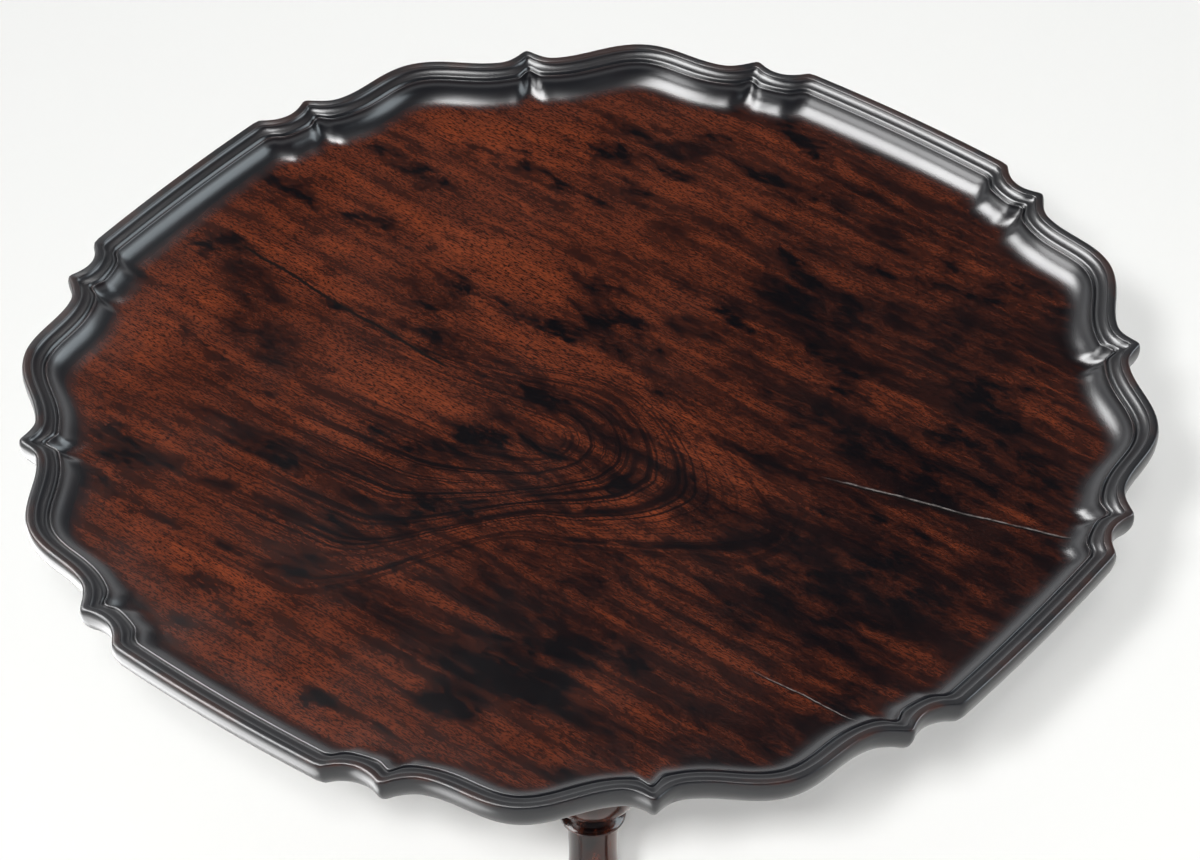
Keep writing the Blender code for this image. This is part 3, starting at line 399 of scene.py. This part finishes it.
LIGHT_CLOUDS = (
    (-0.238, 0.187, 0.050, 0.030, 10, 0.75), (-0.058, 0.036, 0.070, 0.018, -3, 0.70),
    (0.078, 0.022, 0.085, 0.014, -12, 0.75), (0.083, -0.067, 0.034, 0.026, 40, 0.70),
    (0.030, -0.326, 0.090, 0.014, -2, 0.90), (0.255, -0.240, 0.060, 0.012, 38, 0.85),
    (0.130, 0.120, 0.060, 0.010, 0, 0.50), (-0.150, 0.080, 0.080, 0.020, 0, 0.45),
    (-0.120, -0.060, 0.070, 0.022, 4, 0.50), (-0.285, -0.110, 0.050, 0.040, 60, 0.45),
    (-0.110, -0.270, 0.080, 0.020, -8, 0.50), (0.090, 0.245, 0.050, 0.010, -4, 0.40),
)
# Cracks: start x, y, length, turn in degrees, half width, whether its edge is pale
CRACKS = (
    (-0.316, -0.010, 0.220, -3.5, 0.0011, False),
    (0.163, 0.043, 0.186, 16.5, 0.0009, True),
    (0.232, -0.130, 0.100, 3.0, 0.0006, True),
)

# Tones of the polished wood
WOOD_BRIGHT = (0.1620, 0.0300, 0.0080)
WOOD_MIDDLE = (0.0180, 0.0045, 0.0032)
WOOD_LINE = (0.0040, 0.0016, 0.0018)
WOOD_DARK = (0.0008, 0.0008, 0.0018)
RIM_DARK = (0.0052, 0.0054, 0.0072)
RIM_WORN = (0.0300, 0.0080, 0.0045)
CRACK_DARK = (0.004, 0.003, 0.003)
CRACK_DUST = (0.150, 0.135, 0.130)
# The flame figure: its centre and turn in degrees, and how close its fine growth lines lie
FLAME_PLACE = (-0.010, -0.038, 6.0)
LINES_PER_METRE = 190.0
# Its lines that stand out: how far out, half width, and strength on the side towards +Y
STRONG_LINES = ((0.0530, 0.0030, 0.80), (0.0700, 0.0050, 0.15), (0.0930, 0.0030, 0.30))
# Tones of the unpolished wood
RAW_DARK = (0.070, 0.026, 0.012)
RAW_PALE = (0.150, 0.060, 0.026)
RAW_DIRT = (0.024, 0.012, 0.008)
RAW_PORES = (0.014, 0.006, 0.004)


def clouds(n, place, shapes):
    """The strongest of some soft-edged patches at each point."""
    total = 0.0
    flat = 1000.0
    for x, y, length, width, turn, depth in shapes:
        out = n.vector("LENGTH", n.placed(place, x, y, turn, (length, width, flat)))
        patch = n.remap(out, 1.30, 0.60, 0.0, depth)
        total = n.math("MAXIMUM", patch, total)
    return total


def flame_figure(n, place):
    """How far out and how far across a point is in the flame figure, whose arcs close towards +X."""
    along, across, _ = n.split(n.placed(place, *FLAME_PLACE))
    ahead = n.math("MAXIMUM", along, 0.0)
    squeeze = n.math("MAXIMUM", n.math("MULTIPLY_ADD", ahead, -2.2, 0.90), 0.5)
    tip = n.math("POWER", n.math("MULTIPLY", ahead, squeeze), 2.0)
    reach = n.math("SQRT", n.math("ADD", tip, n.math("POWER", across, 2.0)))
    lower = n.remap(along, 0.050, -0.060, 1.0, 2.15)
    upper = n.remap(along, 0.040, -0.100, 1.0, 0.60)
    side = n.remap(across, -0.015, 0.015)
    spread = n.math("ADD", lower, n.math("MULTIPLY", side, n.math("SUBTRACT", upper, lower)))
    return n.math("DIVIDE", reach, spread), across


def figure_lines(n, place):
    """Dark growth lines of the flame figure: fine irregular ones, and some that stand out."""
    reach, across = flame_figure(n, place)
    rings = n.noise(n.join(n.math("MULTIPLY", reach, LINES_PER_METRE), 0.0, 0.0), 1.0, 3.0, 0.8)
    inside = n.math("MULTIPLY", n.remap(reach, 0.125, 0.080), n.remap(reach, 0.004, 0.022))
    inside = n.math("MULTIPLY", inside, n.remap(n.split(place)[0], -0.25, -0.06))
    lower = n.remap(across, 0.09, -0.02, 0.60, 1.0)
    shown = n.math("MULTIPLY", n.remap(rings, 0.47, 0.57), n.math("MULTIPLY", inside, lower))
    broken = n.remap(n.noise(place, 38.0, 3.0), 0.38, 0.58, 0.25, 1.0)
    for radius, width, far_side in STRONG_LINES:
        apart = n.math("ABSOLUTE", n.math("SUBTRACT", reach, radius))
        strength = n.remap(across, 0.03, -0.01, far_side, 1.0)
        line = n.math("MULTIPLY", n.remap(apart, width, 0.15 * width), strength)
        line = n.math("MULTIPLY", line, n.remap(n.split(place)[0], -0.30, -0.14))
        shown = n.math("MAXIMUM", shown, n.math("MULTIPLY", line, broken))
    return shown


def add_cracks(n, color):
    """Old shrinkage cracks in the field, dark, or with an edge where dust and wax are pale."""
    wobble = n.noise(n.mapped(n.place, scale=(13, 13, 1)), 1.0, 6.0, 0.6)
    for x, y, length, turn, width, pale in CRACKS:
        along, across, _ = n.split(n.placed(n.place, x, y, turn))
        across = n.math("MULTIPLY_ADD", n.math("SUBTRACT", wobble, 0.5), 0.009, across)
        ends = n.math("MULTIPLY", n.remap(along, 0.0, 0.03), n.remap(along, length, length - 0.012))
        line = n.remap(n.math("ABSOLUTE", across), 1.6 * width, 0.4 * width)
        color = n.mix(n.math("MULTIPLY", line, ends), color, CRACK_DARK)
        if pale:
            off_edge = n.math("ABSOLUTE", n.math("SUBTRACT", across, 1.3 * width))
            edge = n.remap(off_edge, width, 0.3 * width)
            broken = n.remap(n.noise(n.place, 160.0, 3.0), 0.35, 0.6, 0.25, 0.9)
            shown = n.math("MULTIPLY", n.math("MULTIPLY", edge, ends), broken)
            color = n.mix(shown, color, CRACK_DUST)
    return color


def dark_wood(name, turn=(0, 0, 0), figured=False):
    """Old polished wood: red-brown with near-black clouds and fine pores, figured on the top."""
    n = Nodes(name)
    place = n.mapped(n.place, rotation=turn)
    warp = n.noise(n.mapped(place, scale=(7, 16, 16)), 1.0, 5.0, 0.62, color=True)
    centred = n.vector("SUBTRACT", warp, (0.5, 0.5, 0.5))
    offset = n.vector("MULTIPLY", centred, (0.050, 0.024, 0.024))
    warped = n.vector("ADD", place, offset)
    slight = n.vector("ADD", place, n.vector("MULTIPLY", offset, (0.3, 0.3, 0.3)))
    pores = stretched_noise(n, slight, 0.0034, 0.00085)
    lines = stretched_noise(n, slight, 0.028, 0.0014, 4.0)
    bands = stretched_noise(n, warped, 0.16, 0.010, 5.0)
    mottle = n.noise(n.mapped(warped, scale=(34, 70, 70)), 1.0, 5.0, 0.65)
    warmth = n.math("ADD", n.remap(bands, 0.24, 0.84), n.remap(mottle, 0.30, 0.70, -0.16, 0.16))
    shade = n.noise(n.mapped(warped, scale=(11, 26, 26)), 1.0, 6.0, 0.65)
    dark = n.remap(shade, 0.49, 0.64, 0.0, 0.9)
    if figured:
        warmth = n.math("ADD", warmth, n.math("MULTIPLY", clouds(n, warped, LIGHT_CLOUDS), 0.60))
        left = n.remap(n.split(n.place)[0], 0.20, -0.28, -0.24, 0.20)
        warmth = n.math("ADD", warmth, left)
        dark = n.math("MAXIMUM", dark, clouds(n, warped, DARK_CLOUDS))
    color = n.mix(warmth, WOOD_MIDDLE, WOOD_BRIGHT)
    color = n.mix(n.remap(lines, 0.42, 0.72, 0.0, 0.55), color, WOOD_LINE)
    if figured:
        color = n.mix(n.math("MULTIPLY", figure_lines(n, slight), 0.92), color, WOOD_DARK)
    ragged = n.math("MULTIPLY", dark, n.remap(mottle, 0.36, 0.62, 1.10, 0.55))
    ragged = n.math("MULTIPLY", ragged, n.remap(lines, 0.30, 0.60, 1.0, 0.88))
    color = n.mix(n.math("MULTIPLY", ragged, 1.35), color, WOOD_DARK)
    color = n.mix(n.remap(pores, 0.42, 0.66, 0.0, 0.85), color, WOOD_LINE)
    roughness = n.remap(n.noise(n.place, 9.0, 4.0, 0.6), 0.35, 0.65, 0.12, 0.16)
    if figured:
        color = add_cracks(n, color)
        rim = n.attribute("rim")
        color = n.mix(rim, color, RIM_DARK)
        rubbed = n.noise(n.mapped(n.place, scale=(26, 26, 60)), 1.0, 4.0, 0.6)
        worn = n.math("MULTIPLY", n.attribute("wear"), n.remap(rubbed, 0.45, 0.62))
        color = n.mix(n.math("MULTIPLY", worn, 0.75), color, RIM_WORN)
        roughness = n.math("ADD", roughness, n.math("MULTIPLY", rim, 0.16))
    n.bump(n.math("ADD", pores, n.math("MULTIPLY", lines, 0.5)), 0.08, 0.0004)
    return n.finish(color, roughness)


def plain_wood(name, turn=(0, 0, 0)):
    """Unpolished mahogany, brown with open pores and old dirt."""
    n = Nodes(name, specular=0.35)
    place = n.mapped(n.place, rotation=turn)
    warp = n.noise(n.mapped(place, scale=(6, 14, 14)), 1.0, 3.0, 0.6, color=True)
    warped = n.vector("ADD", place, n.vector("MULTIPLY", warp, (0.03, 0.012, 0.012)))
    bands = stretched_noise(n, warped, 0.30, 0.012, 4.0)
    pores = stretched_noise(n, warped, 0.012, 0.0006)
    dirt = n.noise(n.place, 9.0, 6.0, 0.65)
    color = n.mix(n.remap(bands, 0.3, 0.7), RAW_DARK, RAW_PALE)
    color = n.mix(n.remap(dirt, 0.45, 0.72, 0.0, 0.75), color, RAW_DIRT)
    color = n.mix(n.remap(pores, 0.50, 0.66, 0.0, 0.7), color, RAW_PORES)
    n.bump(pores, 0.25, 0.0005)
    return n.finish(color, n.remap(dirt, 0.3, 0.7, 0.48, 0.72))


def metal(name, clean, tarnish, low, high, metallic=1.0):
    """A metal with cloudy tarnish and fine scratches, its roughness from low to high."""
    n = Nodes(name, metallic=metallic)
    cloud = n.noise(n.place, 70.0, 6.0, 0.65)
    fine = n.noise(n.mapped(n.place, scale=(900, 120, 400)), 1.0, 2.0, 0.5)
    color = n.mix(n.remap(cloud, 0.40, 0.66), clean, tarnish)
    n.bump(n.math("ADD", fine, cloud), 0.15, 0.0003)
    return n.finish(color, n.remap(cloud, 0.35, 0.7, low, high))


# The base ----------------------------------------------------------------------------------------
GAP = 0.0003
LEG_DIRECTIONS = {"leg_front": -111.0, "leg_right": 9.0, "leg_back": 129.0}
DRUM_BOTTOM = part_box("column")[0].z
LOWER_BLOCK_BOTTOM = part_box("cage_lower_block")[0].z
LOWER_BLOCK_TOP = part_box("cage_lower_block")[1].z
UPPER_BLOCK_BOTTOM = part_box("cage_upper_block")[0].z
UPPER_BLOCK_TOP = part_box("cage_upper_block")[1].z
SHOULDER = LOWER_BLOCK_BOTTOM - GAP       # of the column, under the birdcage
# The column, from the drum up; heights are each part's own unless the comment says otherwise
DRUM_RADIUS = 0.0400
DRUM_HEIGHT = 0.0880
NECK_RADIUS = 0.0195
NECK_LOW = 0.0300             # above the drum
NECK_HIGH = 0.1020            # above the drum
URN_RADIUS = 0.0425
URN_HEIGHT = 0.1000
SHAFT_RADIUS = 0.0250
SHAFT_TOP_RADIUS = 0.0195
CAPITAL_RADIUS = 0.0340
CAPITAL_HEIGHT = 0.0360
JOURNAL_RADIUS = 0.0190
JOURNAL_END = 0.0190          # below the upper block
TENON_RADIUS = 0.0140
# The other turned pieces, and the legs
PILLAR_RADIUS = 0.0135
PILLAR_WAIST = 0.0081
PILLAR_TENON = 0.0080
COLLAR_BORE = 0.0193
COLLAR_RADIUS = 0.0310
LEG_SEAT = 0.0370             # distance from the axis at which the legs meet the drum
LEG_HALF_DEPTH = 0.0390
LEG_HALF_WIDTH = 0.0140
FOOT_REACH = 0.3020
FOOT_RADIUS = 0.0300
FOOT_HEIGHT = 0.0220


def swell(start, end, bulge, steps):
    """Profile points from start up to, but not including, end, with a round or a hollow between."""
    (r0, z0), (r1, z1) = start, end
    points = []
    for k in range(steps):
        t = k / steps
        points.append((r0 + (r1 - r0) * t + bulge * math.sin(math.pi * t), z0 + (z1 - z0) * t))
    return points


def loft(name, rings, finish, sharp_angle=40.0):
    """A smooth solid through rings of points, closed at both ends."""
    bm = bmesh.new()
    loops = [[bm.verts.new(point) for point in ring] for ring in rings]
    bridge(bm, loops)
    bm.faces.new(list(reversed(loops[0])))
    bm.faces.new(loops[-1])
    bmesh.ops.recalc_face_normals(bm, faces=bm.faces[:])
    mesh = bpy.data.meshes.new(name)
    bm.to_mesh(mesh)
    bm.free()
    mesh.shade_smooth()
    mesh.set_sharp_from_angle(angle=math.radians(sharp_angle))
    mesh.materials.append(finish)
    piece = bpy.data.objects.new(name, mesh)
    bpy.context.scene.collection.objects.link(piece)
    return piece


def turned(name, profile, finish, facets=72, axis=(0.0, 0.0)):
    """A piece turned about Z from (radius, height) points."""
    rings = []
    turns = [2 * math.pi * k / facets for k in range(facets)]
    for radius, z in profile:
        rings.append([(axis[0] + radius * math.cos(t), axis[1] + radius * math.sin(t), z)
                      for t in turns])
    return loft(name, rings, finish)


def stand_in(piece, node, body):
    """Put a piece in the place of a CAD node and its body."""
    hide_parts(node)
    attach(piece, body)


def column_profile():
    """The column's turned outline, from its underside up to the end of its tenon."""
    drum_top = DRUM_BOTTOM + DRUM_HEIGHT
    neck_low = drum_top + NECK_LOW
    neck_high = drum_top + NECK_HIGH
    urn_top = neck_high + URN_HEIGHT
    capital = SHOULDER - CAPITAL_HEIGHT
    ring = DRUM_RADIUS - 0.005
    collet = SHAFT_RADIUS - 0.003
    flare = CAPITAL_RADIUS - 0.001
    profile = [(DRUM_RADIUS - 0.0015, DRUM_BOTTOM), (DRUM_RADIUS, DRUM_BOTTOM + 0.0015)]
    profile += [(DRUM_RADIUS, drum_top - 0.0050), (DRUM_RADIUS - 0.0004, drum_top - 0.0042)]
    profile += swell((ring, drum_top - 0.002), (ring, drum_top + 0.008), 0.0048, 10)
    profile += [(ring, drum_top + 0.008), (ring - 0.003, drum_top + 0.0085)]
    profile += swell((ring - 0.003, drum_top + 0.011), (NECK_RADIUS, neck_low), -0.004, 12)
    profile += swell((NECK_RADIUS, neck_low), (NECK_RADIUS, neck_high - 0.008), -0.0015, 10)
    profile += swell((NECK_RADIUS, neck_high - 0.008), (NECK_RADIUS, neck_high), 0.005, 10)
    urn_foot = (0.74 * URN_RADIUS, neck_high + 0.22 * URN_HEIGHT)
    profile += swell((NECK_RADIUS, neck_high), urn_foot, -0.003, 8)
    middle = neck_high + 0.52 * URN_HEIGHT
    for k in range(25):
        t = math.radians(-40 + 115 * k / 24)
        profile.append((URN_RADIUS * math.cos(t) ** 0.7, middle + 0.45 * URN_HEIGHT * math.sin(t)))
    profile += swell((collet, urn_top), (collet, urn_top + 0.009), 0.006, 10)
    profile += [(collet, urn_top + 0.009), (SHAFT_RADIUS, urn_top + 0.013)]
    profile += swell((SHAFT_RADIUS, urn_top + 0.014), (SHAFT_TOP_RADIUS, capital), 0.0008, 16)[1:]
    profile += swell((SHAFT_TOP_RADIUS, capital), (SHAFT_TOP_RADIUS, capital + 0.008), 0.0045, 10)
    profile += [(SHAFT_TOP_RADIUS, capital + 0.009)]
    profile += swell((SHAFT_TOP_RADIUS, capital + 0.010), (flare, SHOULDER - 0.008), -0.004, 10)
    profile += [(flare, SHOULDER - 0.008), (flare + 0.0008, SHOULDER - 0.0068)]
    profile += [(CAPITAL_RADIUS, SHOULDER - 0.0055), (CAPITAL_RADIUS, SHOULDER - 0.0008)]
    profile += [(CAPITAL_RADIUS - 0.0008, SHOULDER)]
    step = UPPER_BLOCK_BOTTOM - JOURNAL_END
    profile += [(JOURNAL_RADIUS, SHOULDER), (JOURNAL_RADIUS, step - 0.0005)]
    profile += [(JOURNAL_RADIUS - 0.0005, step), (TENON_RADIUS, step)]
    profile += [(TENON_RADIUS, UPPER_BLOCK_TOP - 0.002)]
    profile += [(TENON_RADIUS - 0.001, UPPER_BLOCK_TOP - 0.001)]
    return profile


def pillar_profile():
    """A birdcage pillar's outline: a tenon, a vase on a round foot, a capital and a tenon."""
    low, high = LOWER_BLOCK_TOP + GAP, UPPER_BLOCK_BOTTOM - GAP
    height = high - low
    tenon, wide, slim = PILLAR_TENON, PILLAR_RADIUS, PILLAR_WAIST
    collar = 0.85 * slim
    profile = [(tenon, LOWER_BLOCK_BOTTOM), (tenon, low)]
    profile += swell((0.9 * wide, low), (0.9 * wide, low + 0.12 * height), 0.1 * wide, 8)
    profile += [(0.9 * wide, low + 0.12 * height), (0.8 * slim, low + 0.13 * height)]
    profile += swell((slim, low + 0.15 * height), (slim, low + 0.56 * height), wide - slim, 16)
    profile += swell((slim, low + 0.56 * height), (collar, low + 0.80 * height), -0.0006, 8)
    profile += swell((collar, low + 0.80 * height), (collar, low + 0.88 * height), 0.3 * wide, 8)
    profile += swell((collar, low + 0.88 * height), (0.9 * wide, low + 0.96 * height), -0.001, 6)
    profile += [(0.9 * wide, high), (tenon, high), (tenon, UPPER_BLOCK_TOP)]
    return profile


def collar_profile():
    """The loose ring's outline; its bore is the first and last radius."""
    low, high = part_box("collar_ring")[0].z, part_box("collar_ring")[1].z
    bore, radius = COLLAR_BORE, COLLAR_RADIUS
    profile = [(bore, low), (radius - 0.0006, low), (radius, low + 0.0006), (radius, low + 0.004)]
    profile += [(radius - 0.003, low + 0.0048)]
    profile += swell((radius - 0.003, low + 0.005), (radius - 0.003, high - 0.0005), 0.003, 12)
    profile += [(radius - 0.004, high), (bore, high)]
    return profile


def leg_stations():
    """Along a leg: distance out, height, tilt in degrees, half depth, half width, squareness."""
    seat, root, width = LEG_SEAT, LEG_HALF_DEPTH, LEG_HALF_WIDTH
    middle = DRUM_BOTTOM + root
    reach = FOOT_REACH - seat
    return [
        (seat, middle, 0, root, width, 8.0),
        (seat + 0.10 * reach, middle - 0.0010, -2, root - 0.0012, width, 7.0),
        (seat + 0.21 * reach, 0.960 * middle, -18, 0.80 * root, width, 5.0),
        (seat + 0.32 * reach, 0.866 * middle, -32, 0.64 * root, 0.97 * width, 4.0),
        (seat + 0.43 * reach, 0.723 * middle, -40, 0.51 * root, 0.92 * width, 3.0),
        (seat + 0.54 * reach, 0.560 * middle, -41, 0.42 * root, 0.86 * width, 2.6),
        (seat + 0.65 * reach, 0.405 * middle, -37, 0.35 * root, 0.80 * width, 2.4),
        (seat + 0.76 * reach, 0.278 * middle, -30, 0.31 * root, 0.76 * width, 2.2),
        (seat + 0.87 * reach, 0.185 * middle, -24, 0.29 * root, 0.78 * width, 2.0),
        (seat + 0.97 * reach, 0.112 * middle, -22, 0.25 * root, 0.90 * width, 2.0),
    ]


def between(stations, k, t):
    """A station a share t of the way from station k to the next, on a smooth curve through them."""
    before, here = stations[max(k - 1, 0)], stations[k]
    after, beyond = stations[k + 1], stations[min(k + 2, len(stations) - 1)]
    values = []
    for p0, p1, p2, p3 in zip(before, here, after, beyond):
        values.append(0.5 * (2 * p1 + (p2 - p0) * t + (2 * p0 - 5 * p1 + 4 * p2 - p3) * t ** 2
                             + (3 * p1 - p0 - 3 * p2 + p3) * t ** 3))
    return values


def make_leg(name, direction, finish):
    """A cabriole leg with its turned pad foot."""
    stations = leg_stations()
    steps = 6
    fine = [between(stations, k, j / steps) for k in range(len(stations) - 1) for j in range(steps)]
    fine.append(stations[-1])
    turn = Matrix.Rotation(math.radians(direction), 4, "Z")
    facets = 36
    rings = []
    for out, height, tilt, half_depth, half_width, squareness in fine:
        lean = math.radians(tilt)
        ring = []
        for k in range(facets):
            a = 2 * math.pi * (k + 0.5) / facets
            c, s = math.cos(a), math.sin(a)
            across = half_width * math.copysign(abs(c) ** (2 / squareness), c)
            up = half_depth * math.copysign(abs(s) ** (2 / squareness), s)
            point = Vector((out - up * math.sin(lean), across, height + up * math.cos(lean)))
            ring.append(turn @ point)
        rings.append(ring)
    leg = loft(name + "_shaped", rings, finish, 50.0)
    stand_in(leg, name, "base")
    profile = [(0.64 * FOOT_RADIUS, 0.0), (0.68 * FOOT_RADIUS, 0.0006), (0.74 * FOOT_RADIUS, 0.003)]
    for k in range(19):
        t = math.radians(-50 + 125 * k / 18)
        profile.append((FOOT_RADIUS * math.cos(t) ** 0.8, 0.5 * FOOT_HEIGHT * (1 + math.sin(t))))
    centre = turn @ Vector((FOOT_REACH, 0, 0))
    foot = turned(name + "_foot", profile, finish, 48, (centre.x, centre.y))
    foot.parent = leg


def make_base():
    """The turned column, collar and pillars, and the legs, in place of their CAD solids."""
    upright = dark_wood("column_mahogany", (0, 90, 0))
    column = turned("turned_column", column_profile(), upright, 96)
    stand_in(column, "column", "base")
    collar = collar_profile()
    ring = turned("turned_collar", collar + collar[:1], upright)
    stand_in(ring, "collar_ring", "base")
    for name, direction in LEG_DIRECTIONS.items():
        wood = dark_wood(name + "_mahogany", (0, 35, -direction))
        make_leg(name, direction, wood)
    for number in range(1, 5):
        node = f"cage_pillar_{number}"
        low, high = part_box(node)
        axis = ((low.x + high.x) / 2, (low.y + high.y) / 2)
        pillar = turned(f"turned_pillar_{number}", pillar_profile(), upright, 40, axis)
        stand_in(pillar, node, "cage")


def finish_cad_nodes():
    """The CAD solids that stay get their finishes: block wood, batten wood, brass and iron."""
    lengthways = plain_wood("batten_wood", (0, 0, 90))
    crosswise = plain_wood("block_wood")
    polished = dark_wood("block_mahogany")
    brass = metal("aged_brass", (0.42, 0.27, 0.095), (0.115, 0.075, 0.035), 0.26, 0.50)
    iron = metal("wrought_iron", (0.055, 0.052, 0.050), (0.060, 0.028, 0.016), 0.45, 0.75, 0.8)
    finishes = {"batten_screw": iron, "batten": lengthways, "cage_upper_block": crosswise,
                "cage_lower_block": polished, "wedge_key": lengthways, "catch": brass,
                "keeper": brass, "spider_plate": iron, "plate_nail": iron}
    for name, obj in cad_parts.items():
        for start, finish in finishes.items():
            if name.startswith(start):
                obj.data.materials.clear()
                obj.data.materials.append(finish)
                break


# Stage -------------------------------------------------------------------------------------------
FLOOR_REACH = 30.0
FLOOR_COLOR = (0.84, 0.84, 0.82, 1.0)
ROOM_COLOR = (0.97, 0.98, 1.0, 1.0)
DOME_LIGHT = 0.40             # the world's strength as dull surfaces see it
BACKDROP = 0.95               # and as the camera sees it
HORIZON_GLOSS = 1.4           # and in gloss, at the horizon
CEILING_GLOSS = 0.05          # and in gloss, at the ceiling


def camera_axes():
    """The camera's right, up and back before it is rolled."""
    back = CAMERA_BACK.normalized()
    right = Vector((0, 0, 1)).cross(back).normalized()
    return right, back.cross(right), back


def make_camera():
    data = bpy.data.cameras.new("camera")
    data.sensor_width = SENSOR_WIDTH
    data.lens = CAMERA_LENS_PER_WIDTH * SENSOR_WIDTH
    camera = bpy.data.objects.new("camera", data)
    right, up, back = camera_axes()
    rolled_right = right * math.cos(CAMERA_ROLL) + up * math.sin(CAMERA_ROLL)
    rolled_up = up * math.cos(CAMERA_ROLL) - right * math.sin(CAMERA_ROLL)
    place = CAMERA_TARGET + back * CAMERA_DISTANCE
    camera.matrix_world = Matrix((
        (rolled_right.x, rolled_up.x, back.x, place.x),
        (rolled_right.y, rolled_up.y, back.y, place.y),
        (rolled_right.z, rolled_up.z, back.z, place.z),
        (0, 0, 0, 1)))
    bpy.context.scene.collection.objects.link(camera)
    bpy.context.scene.camera = camera


def make_floor():
    mesh = bpy.data.meshes.new("floor")
    far = FLOOR_REACH
    corners = [(-far, -far, 0), (far, -far, 0), (far, far, 0), (-far, far, 0)]
    mesh.from_pydata(corners, [], [(0, 1, 2, 3)])
    floor = bpy.data.objects.new("floor", mesh)
    paint = bpy.data.materials.new("pale_floor")
    paint.use_nodes = True
    shader = paint.node_tree.nodes["Principled BSDF"]
    shader.inputs["Base Color"].default_value = FLOOR_COLOR
    shader.inputs["Roughness"].default_value = 0.95
    shader.inputs["Specular IOR Level"].default_value = 0.1
    floor.data.materials.append(paint)
    bpy.context.scene.collection.objects.link(floor)


def soft_light(name, azimuth, elevation, distance, size, radiance, color=(1, 1, 1),
               seen=True, lights=True):
    """A soft box that faces the top, at an azimuth from X and an elevation, in degrees.

    One that isn't seen doesn't show in gloss, and one that doesn't light leaves dull surfaces be.
    """
    a, e = math.radians(azimuth), math.radians(elevation)
    aim = Vector((0, 0, ARRIS))
    towards = Vector((math.cos(e) * math.cos(a), math.cos(e) * math.sin(a), math.sin(e)))
    place = aim + distance * towards
    data = bpy.data.lights.new(name, "AREA")
    data.shape = "RECTANGLE"
    data.size, data.size_y = size
    data.energy = radiance * math.pi * size[0] * size[1]
    data.color = color
    light = bpy.data.objects.new(name, data)
    light.location = place
    light.rotation_euler = (aim - place).to_track_quat("-Z", "Y").to_euler()
    light.visible_camera = False
    light.visible_glossy = seen
    light.visible_diffuse = lights
    bpy.context.scene.collection.objects.link(light)


def camera_side_light(name, across, above, distance, size, radiance):
    """A small lamp near the camera, moved across and above its line of sight, in metres."""
    right, up, back = camera_axes()
    place = distance * back + across * right + above * up
    azimuth = math.degrees(math.atan2(place.y, place.x))
    elevation = math.degrees(math.asin(place.z / place.length))
    soft_light(name, azimuth, elevation, place.length, (size, size), radiance, seen=False)


def make_lights():
    """Two lamps near the camera, soft fills, and cards that only the polish shows."""
    camera_side_light("side_lamp", -0.205, 0.093, 3.6, 0.12, 2300.0)
    camera_side_light("high_lamp", -0.010, 0.100, 3.6, 0.10, 1700.0)
    soft_light("back_floor_fill", 128, 38, 3.2, (1.6, 1.6), 3.6, seen=False)
    soft_light("overhead_fill", 300, 84, 4.2, (4.5, 4.5), 0.40, seen=False)
    soft_light("left_card", 182, 60, 3.2, (2.0, 1.7), 24.0, lights=False)
    soft_light("front_left_card", 233, 26, 3.6, (1.8, 2.8), 11.0, lights=False)
    soft_light("right_card", 47, 26, 4.0, (2.6, 3.4), 6.0, (0.84, 0.94, 1.0), lights=False)
    soft_light("floor_card", 231, -37, 0.9, (1.3, 0.38), 5.5, lights=False)


def make_world():
    """A room: even light for dull surfaces, and in gloss a pale horizon under a dark ceiling."""
    world = bpy.data.worlds.new("studio")
    bpy.context.scene.world = world
    world.use_nodes = True
    nodes, links = world.node_tree.nodes, world.node_tree.links
    split = nodes.new("ShaderNodeSeparateXYZ")
    links.new(nodes.new("ShaderNodeTexCoord").outputs["Generated"], split.inputs[0])
    fall = nodes.new("ShaderNodeMapRange")
    fall.interpolation_type = "SMOOTHSTEP"
    links.new(split.outputs["Z"], fall.inputs["Value"])
    for name, value in (("From Min", 0.12), ("From Max", 0.52),
                        ("To Min", HORIZON_GLOSS), ("To Max", CEILING_GLOSS)):
        fall.inputs[name].default_value = value
    ray = nodes.new("ShaderNodeLightPath")
    strength = DOME_LIGHT
    for kind, value in (("Is Camera Ray", BACKDROP), ("Is Glossy Ray", fall.outputs["Result"])):
        choice = nodes.new("ShaderNodeMix")
        links.new(ray.outputs[kind], choice.inputs[0])
        for socket, source in ((choice.inputs[2], strength), (choice.inputs[3], value)):
            if isinstance(source, float):
                socket.default_value = source
            else:
                links.new(source, socket)
        strength = choice.outputs[0]
    background = nodes["Background"]
    background.inputs["Color"].default_value = ROOM_COLOR
    links.new(strength, background.inputs["Strength"])


def main():
    top = make_top()
    top.data.materials.append(dark_wood("top_rosewood", figured=True))
    top.data.materials.append(plain_wood("underside_wood"))
    make_base()
    finish_cad_nodes()
    bpy.context.scene.view_settings.view_transform = "Standard"
    make_camera()
    make_floor()
    make_world()
    make_lights()


main()
